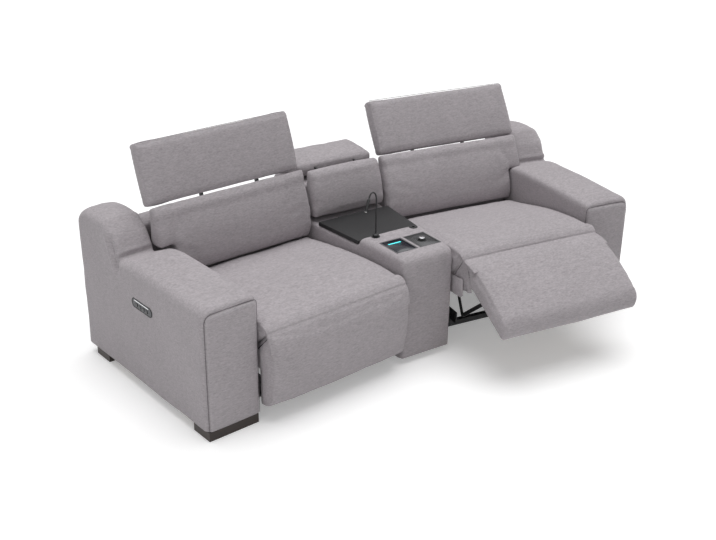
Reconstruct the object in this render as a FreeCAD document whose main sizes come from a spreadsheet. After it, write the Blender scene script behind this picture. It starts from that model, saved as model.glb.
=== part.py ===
import FreeCAD, Part
import math
import os
from FreeCAD import Placement, Rotation, Vector

# Two-seat reclining sofa with a wedge console between the seats.
# The two seat units stand fanned out by the console, so the sofa is concave towards the front.
# World frame: X to the right as seen from the front, Y to the back, Z up, the floor at Z = 0.
# The origin lies on the floor under the console's front foot.
# Each seat unit has its own frame: u outwards from the console, v to the back, z up.

doc = FreeCAD.newDocument("console_sofa")
sheet = doc.addObject("Spreadsheet::Sheet", "sizes")

# Driving sizes in millimetres and degrees.
SIZES = {
    # Plan
    "fan_angle": 6.2,
    "console_front_width": 286,
    "console_gap": 4,
    "seat_width": 744,
    "side_gap": 4,
    "origin_setback": 60,
    # Arms and feet
    "arm_width": 257,
    "arm_front": -11,
    "arm_panel_depth": 36,
    "arm_base": 42,
    "arm_top": 580,
    "armrest_end": 655,
    "arm_rear": 975,
    "shoulder_width": 183,
    "shoulder_top": 698,
    "arm_foam": 30,
    "board": 18,
    "foot_inset": 10,
    "front_foot_depth": 116,
    "rear_foot_depth": 112,
    "rear_foot_setback": 44,
    # Seat cushion and footrest pad
    "knee_setback": -68,
    "knee_height": 426,
    "knee_gap": 4,
    "seat_nose_height": 456,
    "seat_top": 460,
    "seat_rear": 638,
    "seat_rear_height": 420,
    "seat_bottom": 300.8,
    "seat_crown": 12,
    "pad_bottom": 72,
    "pad_front": -98,
    "pad_back": 28,
    "pad_crown": 34,
    "cushion_roll": 14,
    # Back
    "lumbar_bottom": 432,
    "lumbar_top": 730,
    "lumbar_bulge": 592,
    "lumbar_back_low": 660,
    "lumbar_back_high": 684,
    "lumbar_crown": 22,
    "back_width": 800,
    "back_inner": 12,
    "shell_bottom": 310,
    "shell_apron": 150,
    "wing_low": 322,
    "wing_setback": 93,
    "shell_top": 650,
    "shell_rear": 905,
    "shell_wall": 28,
    # Headrests
    "headrest_inner": 30,
    "headrest_width": 782,
    "headrest_lead": 43,
    "headrest_rise": 59,
    "headrest_length": 274,
    "headrest_thickness": 66,
    "headrest_tilt": 19,
    "headrest_pivot_v": 712,
    "pivot_rise": 40,
    "bracket_plate": 8,
    "bracket_bar": 24,
    "bracket_eye": 32,
    "bracket_pin": 10,
    "bracket_reach": 180,
    "bracket_place": 230,
    # Seat mechanism
    "plate": 5,
    "seat_plate_place": 40,
    "slide_plate_place": 49,
    "slide_plate": 6,
    "crank_place": 90,
    "tube": 25,
    "back_rail_v": 722,
    "back_rail": 30,
    "tilt_pin_v": 500,
    "tilt_pin_z": 262,
    "tilt_pin_size": 16,
    "back_pivot_v": 655,
    "back_pivot_z": 284,
    "back_pin_size": 14,
    "crank_pivot_v": 150,
    "crank_pivot_z": 281,
    "crank_tube": 20,
    "footrest_pin_v": 52,
    "footrest_pin_z": 270,
    "link_width": 18,
    "link_pin_size": 10,
    "pin_clearance": 0.05,
    "open_pivot_clearance": 0.6,
    "rail_front": 48,
    "rail_rear": 640,
    "rail_width": 20,
    "rail_base": 82.5,
    "rail_top": 130,
    "rail_groove": 20,
    "rail_clearance": 0.4,
    "slide_tube_front": 350,
    "slide_tube_rear": 580,
    "slide_tube_z": 145,
    "strap_width": 50,
    "strap_thickness": 2,
    "strap_count": 6,
    "footrest_board_thickness": 12,
    "drive_rail_width": 30,
    "drive_rail_height": 22,
    "shuttle_length": 40,
    "shuttle_place": 420,
    "slide_per_degree": 1.0,
    "tilt_per_degree": 0.107,
    "shuttle_per_degree": 1.9,
    # Pose in which the model is drawn
    "left_footrest_open": 0,
    "right_footrest_open": 56,
    "left_back_laid": 0,
    "right_back_laid": 5.5,
    # Switches in the arms' outer sides
    "switch_length": 160,
    "switch_height": 42,
    "switch_place_v": 452,
    "switch_place_z": 424,
    "switch_depth": 16,
    "switch_proud": 3,
    "button_size": 13,
    "button_gap": 0.1,
    "button_pitch": 27,
    "button_count": 4,
    "button_length": 9,
    "button_proud": 1.8,
    # Console
    "console_front": -30,
    "console_top": 521,
    "ledge_top": 488,
    "ledge_front": 277,
    "console_rear": 930,
    "console_foam": 30,
    "carcass_base": 60,
    "lid_front": 281,
    "lid_rear": 566,
    "lid_thickness": 18,
    "lid_inset": 3,
    "lid_pin_size": 6,
    "lid_pin_y": 574,
    "lid_pin_z": 498,
    "hinge_length": 160,
    "storage_front": 300,
    "storage_rear": 548,
    "storage_floor": 180,
    "storage_half_width": 116,
    "insert_width": 117,
    "insert_length": 137,
    "insert_depth": 24,
    "insert_gap": 10,
    "insert_y": 112,
    "dock_size": 34,
    "dock_bore": 14,
    "dock_depth": 30,
    "dock_y": 250,
    "lamp_x": -92,
    "socket_x": 118,
    "knob_size": 46,
    "knob_height": 9,
    "lamp_height": 168,
    "lamp_bend": 22,
    "lamp_neck": 5,
    "lamp_head_size": 14,
    "lamp_head_length": 58,
    # Centre back
    "center_half_width": 200,
    "center_cushion_bottom": 509,
    "center_cushion_front": 590,
    "center_cushion_top": 720,
    "center_head_lead": 27,
    "center_head_rise": 40,
    "center_head_length": 218,
    "center_head_half_width": 214,
    "center_head_tilt": 86.3,
    "center_pivot_y": 708,
    "center_bracket_place": 110,
    "console_foot_width": 120,
    "console_foot_depth": 80,
}
for row, (name, value) in enumerate(SIZES.items(), start=1):
    sheet.set(f"A{row}", name)
    sheet.set(f"B{row}", str(value))
    sheet.setAlias(f"B{row}", name)
doc.recompute()


class Sheet:
    """The sheet's numbers, read once."""


S = Sheet()
for name in SIZES:
    setattr(S, name, float(getattr(sheet, name)))

# Places that follow from the sizes
S.headrest_pivot_z = S.shell_top + S.pivot_rise
S.headrest_front = S.headrest_pivot_v - S.headrest_lead
S.headrest_low = S.headrest_pivot_z + S.headrest_rise
S.center_pivot_z = S.shell_top + S.pivot_rise
S.center_head_front = S.center_pivot_y + S.center_head_lead
S.center_head_height = S.center_pivot_z + S.center_head_rise

LEFT, RIGHT = -1, 1
SIDES = ((LEFT, "left"), (RIGHT, "right"))
X_AXIS = Vector(1, 0, 0)
Y_AXIS = Vector(0, 1, 0)
Z_AXIS = Vector(0, 0, 1)
NEAR = 0.3
pieces = []


# Poses: where each moving body of a seat unit stands

ORIGIN = Placement(Vector(0, -S.origin_setback, 0), Rotation())


def turned(angle, v, z):
    """Turn about a line along the seat's width: the front goes up and the back goes down."""
    return Placement(Vector(), Rotation(X_AXIS, -angle), Vector(0, v, z))


def poses(side):
    opened = S.left_footrest_open if side == LEFT else S.right_footrest_open
    laid = S.left_back_laid if side == LEFT else S.right_back_laid
    stand = Placement(Vector(side * S.console_front_width / 2, 0, 0), Rotation(Z_AXIS, -side * S.fan_angle))
    fixed = ORIGIN * stand
    slide = fixed * Placement(Vector(0, -opened * S.slide_per_degree, 0), Rotation())
    seat = slide * turned(opened * S.tilt_per_degree, S.tilt_pin_v, S.tilt_pin_z)
    crank = seat * turned(opened, S.crank_pivot_v, S.crank_pivot_z)
    crank_end_v = S.crank_pivot_v + S.footrest_pin_v - S.knee_setback
    crank_end_z = S.crank_pivot_z + S.footrest_pin_z - S.knee_height
    return {
        "fixed": fixed,
        "slide": slide,
        "shuttle": slide * Placement(Vector(0, -opened * S.shuttle_per_degree, 0), Rotation()),
        "seat": seat,
        "footrest": seat * turned(opened, S.knee_setback, S.knee_height),
        "crank": crank,
        "coupler": crank * turned(-opened, crank_end_v, crank_end_z),
        "back": seat * turned(laid, S.back_pivot_v, S.back_pivot_z),
    }


# Helpers for plain shapes

def finish(piece, label, pose):
    """Name a finished sub-part and put it in its place."""
    piece.Label = label
    piece.Placement = pose
    pieces.append(piece)


def shape_piece(label, shape, pose):
    piece = doc.addObject("Part::Feature", label)
    piece.Shape = shape
    finish(piece, label, pose)


def block(name, side, u, v, z, width, depth, height):
    """A box whose corner and sizes are expressions in the sheet's names; u is mirrored on the left."""
    piece = doc.addObject("Part::Box", name)
    piece.setExpression("Length", width)
    piece.setExpression("Width", depth)
    piece.setExpression("Height", height)
    piece.setExpression("Placement.Base.x", u if side == RIGHT else f"-({u}) - ({width})")
    piece.setExpression("Placement.Base.y", v)
    piece.setExpression("Placement.Base.z", z)
    return piece


def group(label, members, pose):
    piece = doc.addObject("Part::Compound", label)
    piece.Links = members
    finish(piece, label, pose)


def fused(name, members):
    piece = doc.addObject("Part::MultiFuse", name)
    piece.Shapes = members
    return piece


def cut(name, base, tool):
    piece = doc.addObject("Part::Cut", name)
    piece.Base = base
    piece.Tool = tool
    return piece


def rod(side, u, v, z, length, size):
    """A round bar along the seat's width, from u outwards."""
    start = u if side == RIGHT else -u - length
    return Part.makeCylinder(size / 2, length, Vector(start, v, z), X_AXIS)


def bar(side, u, v, z, length, size):
    """A square bar along the seat's width, centred on v and z."""
    return slab(side, u, v - size / 2, z - size / 2, length, size, size)


def slab(side, u, v, z, width, depth, height):
    start = u if side == RIGHT else -u - width
    return Part.makeBox(width, depth, height, Vector(start, v, z))


def plane_of(body, role):
    return [plane for plane in body.Origin.OriginFeatures if plane.Role == role][0]


def new_sketch(body, name, role):
    sketch = body.newObject("Sketcher::SketchObject", name)
    sketch.AttachmentSupport = [(plane_of(body, role), "")]
    sketch.MapMode = "FlatFace"
    return sketch


def draw_lines(sketch, points):
    """A closed outline of straight edges."""
    for start, end in zip(points, points[1:] + points[:1]):
        sketch.addGeometry(Part.LineSegment(Vector(*start, 0), Vector(*end, 0)), False)


def draw_circle(sketch, x, y, size):
    sketch.addGeometry(Part.Circle(Vector(x, y, 0), Z_AXIS, size / 2), False)


def draw_rectangle(sketch, width, height):
    """A rectangle centred on the origin, its two sizes tied to the sheet."""
    half_width, half_height = 50, 40
    corners = [(-half_width, -half_height), (half_width, -half_height),
               (half_width, half_height), (-half_width, half_height)]
    draw_lines(sketch, corners)
    import Sketcher
    for line in range(4):
        sketch.addConstraint(Sketcher.Constraint("Coincident", line, 2, (line + 1) % 4, 1))
    for line in (0, 2):
        sketch.addConstraint(Sketcher.Constraint("Horizontal", line))
    for line in (1, 3):
        sketch.addConstraint(Sketcher.Constraint("Vertical", line))
    sketch.addConstraint(Sketcher.Constraint("Symmetric", 0, 1, 1, 2, -1, 1))
    across = sketch.addConstraint(Sketcher.Constraint("DistanceX", 0, 1, 0, 2, 2 * half_width))
    sketch.setExpression(f"Constraints[{across}]", width)
    upright = sketch.addConstraint(Sketcher.Constraint("DistanceY", 1, 1, 1, 2, 2 * half_height))
    sketch.setExpression(f"Constraints[{upright}]", height)


def pad(body, name, sketch, length, symmetric=False, back=False):
    feature = body.newObject("PartDesign::Pad", name)
    feature.Profile = sketch
    feature.setExpression("Length", length)
    if symmetric:
        feature.SideType = "Symmetric"
    feature.Reversed = back
    return feature


def pocket(body, name, sketch, length, back=False):
    feature = body.newObject("PartDesign::Pocket", name)
    feature.Profile = sketch
    feature.setExpression("Length", length)
    feature.Reversed = back
    return feature


# Helpers for soft forms
# A soft profile is a function of an inset that returns (a, z, bulge) points: the inset draws the
# section in, and bulge is the height of the arc that follows a point, made with a few chords.

CHORDS = 2


def loop(profile, station, across="u", flip=1):
    """The corners of a profile's outline, standing across u or across v."""
    spots = []
    for (a, z, bulge), following in zip(profile, profile[1:] + profile[:1]):
        start, end = Vector(a, z, 0), Vector(following[0], following[1], 0)
        spots.append(start)
        if bulge:
            left = Vector(start.y - end.y, end.x - start.x, 0).normalize()
            arc = Part.Arc(start, (start + end) / 2 + left * bulge, end)
            spots += arc.discretize(CHORDS + 1)[1:-1]
    if across == "u":
        placed = [Vector(flip * station, spot.x, spot.y) for spot in spots]
    else:
        placed = [Vector(flip * spot.x, station, spot.y) for spot in spots]
    return placed


def sharp(points):
    """The points of an outline with straight edges only."""
    return [(a, z, 0) for a, z in points]


def flat_faces(corners):
    """One flat face through four corners, or two triangles where they don't lie in a plane."""
    first, second, third, fourth = corners
    normal = (second - first).cross(third - first)
    if normal.Length > 1e-6 and abs(normal.normalize().dot(fourth - first)) < 1e-5:
        return [Part.Face(Part.makePolygon(corners + corners[:1]))]
    halves = [(first, second, third), (first, third, fourth)]
    return [Part.Face(Part.makePolygon([*half, half[0]])) for half in halves]


def loft(outlines):
    """A flat-sided solid through outlines that all have the same number of corners."""
    faces = [Part.Face(Part.makePolygon(ends + ends[:1])) for ends in (outlines[0], outlines[-1])]
    for before, after in zip(outlines, outlines[1:]):
        for here in range(len(before)):
            beside = (here + 1) % len(before)
            faces += flat_faces([before[here], before[beside], after[beside], after[here]])
    shell = Part.makeShell(faces)
    shell.sewShape()
    solid = Part.makeSolid(shell)
    if solid.Volume < 0:
        solid.reverse()
    return solid


def cushion(side, start, width, crown, roll, profile):
    """A crowned cushion: its section draws in towards both ends by the crown and a rolled edge."""
    half = width / 2
    steps = [0, 0.35 * roll, 1.5 * roll, 0.45 * half]
    stations = [(step, start + step) for step in steps]
    stations += [(step, start + width - step) for step in reversed(steps)]
    outlines = []
    for step, place in stations:
        inset = crown * (1 - step / half) ** 2
        if step < roll:
            inset += roll - math.sqrt(roll ** 2 - (roll - step) ** 2)
        outlines.append(loop(profile(inset), place, flip=side))
    return loft(outlines)


# Arms: a plywood frame, an upholstered cover with a raised shoulder, and a boxed front panel

def arm_frame(side):
    inner = "sizes.seat_width + sizes.arm_foam"
    outer = "sizes.seat_width + sizes.arm_width - sizes.arm_foam - sizes.board"
    rear_inner = "sizes.seat_width + sizes.arm_width - sizes.shoulder_width + sizes.arm_foam"
    front = "sizes.arm_front + sizes.arm_panel_depth"
    rear = "sizes.arm_rear - sizes.arm_foam"
    wide = "sizes.arm_width - 2 * sizes.arm_foam"
    narrow = "sizes.shoulder_width - 2 * sizes.arm_foam"
    low = "sizes.arm_top - sizes.arm_foam - sizes.arm_base"
    split = "sizes.armrest_end - sizes.arm_foam"
    tag = "left" if side == LEFT else "right"
    boards = [
        block(f"arm_outer_board_{tag}", side, outer, front, "sizes.arm_base",
              "sizes.board", f"{rear} - ({front})", low),
        block(f"arm_inner_board_{tag}", side, inner, front, "sizes.arm_base",
              "sizes.board", f"{split} - ({front})", low),
        block(f"arm_front_board_{tag}", side, inner, front, "sizes.arm_base", wide, "sizes.board", low),
        block(f"arm_middle_board_{tag}", side, inner, f"{split} - sizes.board", "sizes.arm_base",
              wide, "sizes.board", low),
        block(f"arm_rear_board_{tag}", side, rear_inner, f"{rear} - sizes.board", "sizes.arm_base",
              narrow, "sizes.board", low),
        block(f"arm_floor_board_{tag}", side, inner, front, "sizes.arm_base",
              wide, f"{split} - ({front})", "sizes.board"),
        block(f"shoulder_floor_board_{tag}", side, rear_inner, f"{split} - sizes.board", "sizes.arm_base",
              narrow, f"{rear} - ({split}) + sizes.board", "sizes.board"),
    ]
    frame = fused(f"arm_frame_{tag}", boards)
    frame.Placement = poses(side)["fixed"]
    return frame


def armrest_profile(inset):
    inner = S.seat_width
    outer = S.seat_width + S.arm_width
    corner = S.arm_foam
    return [
        (inner, S.arm_base, 0),
        (inner, S.arm_top - corner - inset, 8),
        (inner + corner, S.arm_top - 2 - inset, 4),
        (outer - corner, S.arm_top - inset, 8),
        (outer, S.arm_top - corner - inset, 0),
        (outer, S.arm_base, 0),
    ]


def shoulder_profile(inset):
    front = S.armrest_end - 5
    slope = 0.277 * (S.arm_rear - front)
    rear_corner = 48
    return [
        (front, S.arm_base, 0),
        (front, S.arm_top - 6, 0),
        (front + slope + inset, S.shoulder_top - 8 - inset, 8),
        (front + 2 * slope, S.shoulder_top - inset, 3),
        (S.arm_rear - rear_corner - inset, S.shoulder_top - 4 - inset, 13),
        (S.arm_rear - inset / 3, S.shoulder_top - 60 - inset, 0),
        (S.arm_rear - inset / 3, S.arm_base, 0),
    ]


def arm_cover(side):
    front = S.arm_front + S.arm_panel_depth
    end = S.armrest_end
    outer = S.seat_width + S.arm_width
    inner = outer - S.shoulder_width
    rest_stations = [(front, 4), (front + 8, 0), (front + 260, -4), (end - 90, 0), (end - 30, 5), (end, 22)]
    rest = loft([loop(armrest_profile(inset), v, "v", side) for v, inset in rest_stations])
    shoulder_stations = [(inner, 15), (inner + 6, 6), (inner + 24, 0), (outer - 45, 0), (outer - 14, 9),
                         (outer, 28)]
    shoulder = loft([loop(shoulder_profile(inset), u, flip=side) for u, inset in shoulder_stations])
    cover = rest.fuse(shoulder)
    split = S.armrest_end - S.arm_foam
    low = S.arm_top - S.arm_foam - S.arm_base
    wide = slab(side, S.seat_width + S.arm_foam, front, S.arm_base,
                S.arm_width - 2 * S.arm_foam, split - front, low)
    narrow = slab(side, inner + S.arm_foam, split - S.board, S.arm_base,
                  S.shoulder_width - 2 * S.arm_foam, S.arm_rear - S.arm_foam - split + S.board, low)
    cover = cover.cut(wide.fuse(narrow))
    sunk = S.switch_depth - S.switch_proud
    return cover.cut(pill(side, outer - sunk, sunk + 20, 0))


def pill(side, u, depth, trim):
    """A rounded bar standing in the arm's outer side, smaller all round by trim."""
    radius = S.switch_height / 2 - trim
    reach = (S.switch_length - S.switch_height) / 2
    middle = slab(side, u, S.switch_place_v - reach, S.switch_place_z - radius, depth, 2 * reach, 2 * radius)
    front = rod(side, u, S.switch_place_v - reach, S.switch_place_z, depth, 2 * radius)
    rear = rod(side, u, S.switch_place_v + reach, S.switch_place_z, depth, 2 * radius)
    return middle.fuse([front, rear]).removeSplitter()


def arm_front_panel(side, tag):
    """The flat boxed panel on the arm's front, with its edges softened."""
    body = doc.addObject("PartDesign::Body", f"arm_front_panel_{tag}")
    outline = new_sketch(body, f"arm_front_outline_{tag}", "XZ_Plane")
    draw_rectangle(outline, "sizes.arm_width", "sizes.arm_top - sizes.arm_base - 12")
    block_pad = pad(body, f"arm_front_pad_{tag}", outline, "sizes.arm_panel_depth", back=True)
    doc.recompute()
    front_edges = [f"Edge{number}" for number, edge in enumerate(body.Shape.Edges, start=1)
                   if edge.BoundBox.YMax < 0.01]
    softened = body.newObject("PartDesign::Fillet", f"arm_front_edge_{tag}")
    softened.Base = (block_pad, front_edges)
    softened.Radius = 7
    middle_u = side * (S.seat_width + S.arm_width / 2)
    middle_z = (S.arm_base + S.arm_top - 12) / 2
    place = Placement(Vector(middle_u, S.arm_front, middle_z), Rotation())
    finish(body, f"arm_front_panel_{tag}", poses(side)["fixed"] * place)


# Seat cushion, footrest pad and lumbar cushion

def seat_profile(inset):
    knee = S.knee_setback + S.knee_gap
    mitre = knee + S.knee_height + S.knee_gap - S.seat_bottom
    return [
        (knee + 0.6 * inset, S.knee_height + S.knee_gap - 0.2 * inset, 7),
        (knee + 34 + 0.6 * inset, S.seat_nose_height - inset, 10),
        (S.seat_rear / 2, S.seat_top - inset, 4),
        (S.seat_rear, S.seat_rear_height - inset, 0),
        (S.seat_rear, S.seat_bottom, 0),
        (mitre, S.seat_bottom, 0),
    ]


def footrest_profile(inset):
    return [
        (S.pad_back - 48 + 0.5 * inset, S.pad_bottom + 0.3 * inset, 12),
        (S.pad_front + 20 + inset, S.pad_bottom + 68, 6),
        (S.pad_front + inset, S.pad_bottom + 258, 8),
        (S.knee_setback + 0.7 * inset, S.knee_height - 2 - 0.7 * inset, 0),
        (S.pad_back, S.knee_height - 2 + S.knee_setback - S.pad_back, 0),
        (S.pad_back, S.pad_bottom + 6 + 0.3 * inset, 5),
    ]


def lumbar_slope():
    return (S.lumbar_back_high - S.lumbar_back_low) / (S.lumbar_top - 4 - S.lumbar_bottom)


def lumbar_profile(inset):
    return [
        (S.lumbar_bulge + 22 + 0.4 * inset, S.lumbar_bottom, 9),
        (S.lumbar_bulge + inset, S.lumbar_bottom + 90, 9),
        (S.lumbar_bulge + 46 + inset, S.lumbar_top - 36 - inset, 9),
        (S.lumbar_back_high - 12, S.lumbar_top - inset, 0),
        (S.lumbar_back_high - lumbar_slope() * inset, S.lumbar_top - 4 - inset, 0),
        (S.lumbar_back_low, S.lumbar_bottom, 0),
    ]


def shell_profile(inset):
    front_low = S.lumbar_back_low + NEAR + lumbar_slope() * (S.shell_bottom - S.lumbar_bottom)
    front_high = S.lumbar_back_low + NEAR + lumbar_slope() * (S.shell_top - inset - S.lumbar_bottom)
    return [
        (front_low, S.shell_bottom, 0),
        (front_high, S.shell_top - inset, 4),
        (S.shell_rear - 12 - 0.6 * inset, S.shell_top - 6 - inset, 5),
        (S.shell_rear - 0.6 * inset, S.shell_top - 26 - inset, 6),
        (S.shell_rear - 34 - 0.6 * inset, S.shell_apron, 0),
        (S.shell_rear - 70 - 0.6 * inset, S.shell_apron, 0),
        (front_low + 60, S.shell_bottom, 0),
    ]


def shell_hollow(side):
    low = S.lumbar_back_low + S.shell_wall + lumbar_slope() * (S.shell_bottom - S.lumbar_bottom)
    high = S.lumbar_back_low + S.shell_wall + lumbar_slope() * (S.shell_top - S.lumbar_bottom)
    hollow = [
        (low, S.shell_bottom),
        (high, S.shell_top - S.shell_wall),
        (S.shell_rear - S.shell_wall - 8, S.shell_top - S.shell_wall),
        (S.shell_rear - S.shell_wall - 36, S.shell_apron - 1),
        (low, S.shell_apron - 1),
    ]
    wall = 0.65 * S.shell_wall
    start = S.back_inner + wall
    end = S.back_inner + S.back_width - wall
    middle = S.seat_width - wall
    hollow = sharp(hollow)
    wide = loft([loop(hollow, start, flip=side), loop(hollow, middle, flip=side)])
    wing = loft([loop(hollow, middle - 1, flip=side), loop(hollow, end, flip=side)])
    wing_front = S.armrest_end + S.wing_setback + S.shell_wall
    return wide.fuse(wing.common(slab(side, middle - 2, wing_front, 0, S.back_width, S.shell_rear, S.shell_top)))


# Headrests: a boxed pad on two bracket plates that turn on pins at the back's top

def head_point(front, low, tilt, along, deep):
    """A point of the pad, from its lower front edge: along its face and deep behind it."""
    lean = math.radians(tilt)
    return (front + along * math.sin(lean) + deep * math.cos(lean),
            low + along * math.cos(lean) - deep * math.sin(lean))


def head_profile(front, low, tilt, length, thickness):
    corner = 13

    def profile(inset):
        ends = 0.35 * inset
        face = 0.4 * inset
        spots = [
            (corner + ends, face, 5),
            (length - corner - ends, face, 4),
            (length - ends, corner + face, 2),
            (length - ends, thickness - corner - face, 4),
            (length - corner - ends, thickness - face, 3),
            (corner + ends, thickness - face, 4),
            (ends, thickness - corner - face, 2),
            (ends, corner + face, 4),
        ]
        return [(*head_point(front, low, tilt, along, deep), bulge) for along, deep, bulge in spots]

    return profile


def bracket_bar(side, place, front, low, tilt, pivot, reach, clearance):
    """One bracket plate standing in the pad, from its pivot eye to its end, larger by clearance."""
    pivot_v, pivot_z = pivot
    lean = math.radians(tilt)
    along = (pivot_v - front) * math.sin(lean) + (pivot_z - low) * math.cos(lean)
    deep = (pivot_v - front) * math.cos(lean) - (pivot_z - low) * math.sin(lean)
    half = S.bracket_bar / 2 + clearance
    deep -= 6
    corners = [(along, deep - half), (reach + clearance, deep - half),
               (reach + clearance, deep + half), (along, deep + half)]
    spots = [head_point(front, low, tilt, *corner) for corner in corners]
    plate = S.bracket_plate + 2 * clearance
    return loft([loop(sharp(spots), place - clearance, flip=side),
                 loop(sharp(spots), place - clearance + plate, flip=side)])


def head_bracket(side, places, front, low, tilt, pivot, reach):
    plates = []
    for place in places:
        arm = bracket_bar(side, place, front, low, tilt, pivot, reach, 0)
        eye = rod(side, place, *pivot, S.bracket_plate, S.bracket_eye)
        bore = rod(side, place - 1, *pivot, S.bracket_plate + 2, S.bracket_pin + 2 * S.pin_clearance)
        plates.append(arm.fuse(eye).removeSplitter().cut(bore))
    return Part.makeCompound(plates)


def head_pad(side, start, width, places, front, low, tilt, pivot, length, reach):
    form = cushion(side, start, width, 10, 12,
                   head_profile(front, low, tilt, length, S.headrest_thickness))
    for place in places:
        form = form.cut(bracket_bar(side, place, front, low, tilt, pivot, reach, NEAR))
    return form


def head_post(side, place, pivot, foot_z, depth):
    """The upright beside a bracket plate, with the pin that carries the headrest."""
    pivot_v, pivot_z = pivot
    gap = 1.5
    start = place - gap - S.bracket_plate
    post = slab(side, start, pivot_v - depth / 2, foot_z, S.bracket_plate, depth, pivot_z - foot_z)
    eye = rod(side, start, pivot_v, pivot_z, S.bracket_plate, S.bracket_eye)
    pin = rod(side, start, pivot_v, pivot_z, 2 * S.bracket_plate + 2 * gap, S.bracket_pin)
    return post.fuse([eye, pin]).removeSplitter()


# Seat mechanism

def outline_plate(side, u, thickness, points):
    outline = sharp(points)
    return loft([loop(outline, u, flip=side), loop(outline, u + thickness, flip=side)])


def far_side(u, thickness):
    """The same place counted from the arm's side of the seat."""
    return S.seat_width - u - thickness


def both_plates(u, thickness):
    return (u, far_side(u, thickness))


def base_rails(side):
    """Two grooved rails on two cross tubes, fixed between the console and the arm."""
    solids = []
    for v in (S.rail_front + 40, S.rail_rear - 40):
        length = S.seat_width + S.console_gap
        solids.append(bar(side, -S.console_gap, v, S.rail_base - S.tube / 2 + 0.5, length, S.tube))
    middle = S.slide_plate_place + S.slide_plate / 2
    for place in (middle, S.seat_width - middle):
        rail = slab(side, place - S.rail_width / 2, S.rail_front, S.rail_base, S.rail_width,
                    S.rail_rear - S.rail_front, S.rail_top - S.rail_base)
        half = S.slide_plate / 2 + S.rail_clearance
        groove = slab(side, place - half, S.rail_front - 1, S.rail_top - S.rail_groove,
                      2 * half, S.rail_rear - S.rail_front + 2, S.rail_groove + 1)
        solids.append(rail.cut(groove))
    return solids[0].fuse(solids[1:])


def slide_frame(side):
    """Side plates that run in the rails, cross tubes and the pins that carry the seat."""
    bottom = S.rail_top - S.rail_groove + NEAR
    pin_v, pin_z = S.tilt_pin_v, S.tilt_pin_z
    front, rear = S.rail_front + 12, S.rail_rear - 4
    low_edge, high_edge = S.rail_top + 35, S.rail_top + 55
    points = [(front, bottom), (front, low_edge), (pin_v - 80, high_edge), (pin_v - 20, pin_z + 14),
              (pin_v + 20, pin_z + 14), (pin_v + 80, high_edge), (rear, low_edge), (rear, bottom)]
    solids = []
    for u in both_plates(S.slide_plate_place, S.slide_plate):
        solids.append(outline_plate(side, u, S.slide_plate, points))
    for v in (S.slide_tube_front, S.slide_tube_rear):
        inner = S.slide_plate_place + 1
        solids.append(bar(side, inner, v, S.slide_tube_z, S.seat_width - 2 * inner, S.tube))
    pin_length = S.slide_plate_place - S.seat_plate_place + 1
    for u in (S.seat_plate_place - 1, far_side(S.seat_plate_place - 1, pin_length)):
        solids.append(rod(side, u, pin_v, pin_z, pin_length, S.tilt_pin_size))
    return solids[0].fuse(solids[1:]).removeSplitter()


def seat_frame(side):
    """Side plates with the pin holes, cross tubes under the webbing, and the back's hinge pins."""
    top = S.seat_bottom - S.strap_thickness - NEAR + 1.5
    pin_v, pin_z = S.tilt_pin_v, S.tilt_pin_z
    points = [(72, 268), (72, top), (S.back_pivot_v + 14, top), (S.back_pivot_v + 14, 266), (540, 262),
              (pin_v + 20, pin_z - 20), (pin_v - 20, pin_z - 20), (460, 262)]
    solids = []
    holes = []
    plate_places = both_plates(S.seat_plate_place, S.plate)
    for u in plate_places:
        solids.append(outline_plate(side, u, S.plate, points))
        holes.append(rod(side, u - 1, pin_v, pin_z, S.plate + 2, S.tilt_pin_size + 2 * S.pin_clearance))
        journal = 12 + 2 * S.pin_clearance
        holes.append(rod(side, u - 1, S.crank_pivot_v, S.crank_pivot_z, S.plate + 2, journal))
    tube_z = S.seat_bottom - NEAR - S.strap_thickness - S.tube / 2
    inner = S.seat_plate_place + 1
    for v in (92, 600):
        solids.append(bar(side, inner, v, tube_z, S.seat_width - 2 * inner, S.tube))
    pin_length = 8
    for u in (S.seat_plate_place - pin_length + 1, far_side(S.seat_plate_place - pin_length + 1, pin_length)):
        solids.append(rod(side, u, S.back_pivot_v, S.back_pivot_z, pin_length, S.back_pin_size))
    frame = solids[0].fuse(solids[1:]).removeSplitter()
    return frame.cut(holes[0].fuse(holes[1:]))


def seat_webbing(side):
    """Elastic straps from the front cross tube to the rear one."""
    strap_z = S.seat_bottom - NEAR - S.strap_thickness
    count = int(S.strap_count)
    first = S.seat_plate_place + S.plate + 30
    pitch = (S.seat_width - 2 * first - S.strap_width) / (count - 1)
    straps = [slab(side, first + number * pitch, 84, strap_z, S.strap_width, 524, S.strap_thickness)
              for number in range(count)]
    return Part.makeCompound(straps)


def crank_end():
    return (S.crank_pivot_v + S.footrest_pin_v - S.knee_setback,
            S.crank_pivot_z + S.footrest_pin_z - S.knee_height)


def link_plate(side, u, start, end, thickness):
    """A flat link with round ends between two pins."""
    along = Vector(0, end[0] - start[0], end[1] - start[1])
    normal = Vector(0, -along.z, along.y).normalize() * (S.link_width / 2)
    points = [(start[0] + normal.y, start[1] + normal.z), (end[0] + normal.y, end[1] + normal.z),
              (end[0] - normal.y, end[1] - normal.z), (start[0] - normal.y, start[1] - normal.z)]
    strip = outline_plate(side, u, thickness, points)
    ends = [rod(side, u, *spot, thickness, S.link_width) for spot in (start, end)]
    return strip.fuse(ends).removeSplitter()


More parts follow.
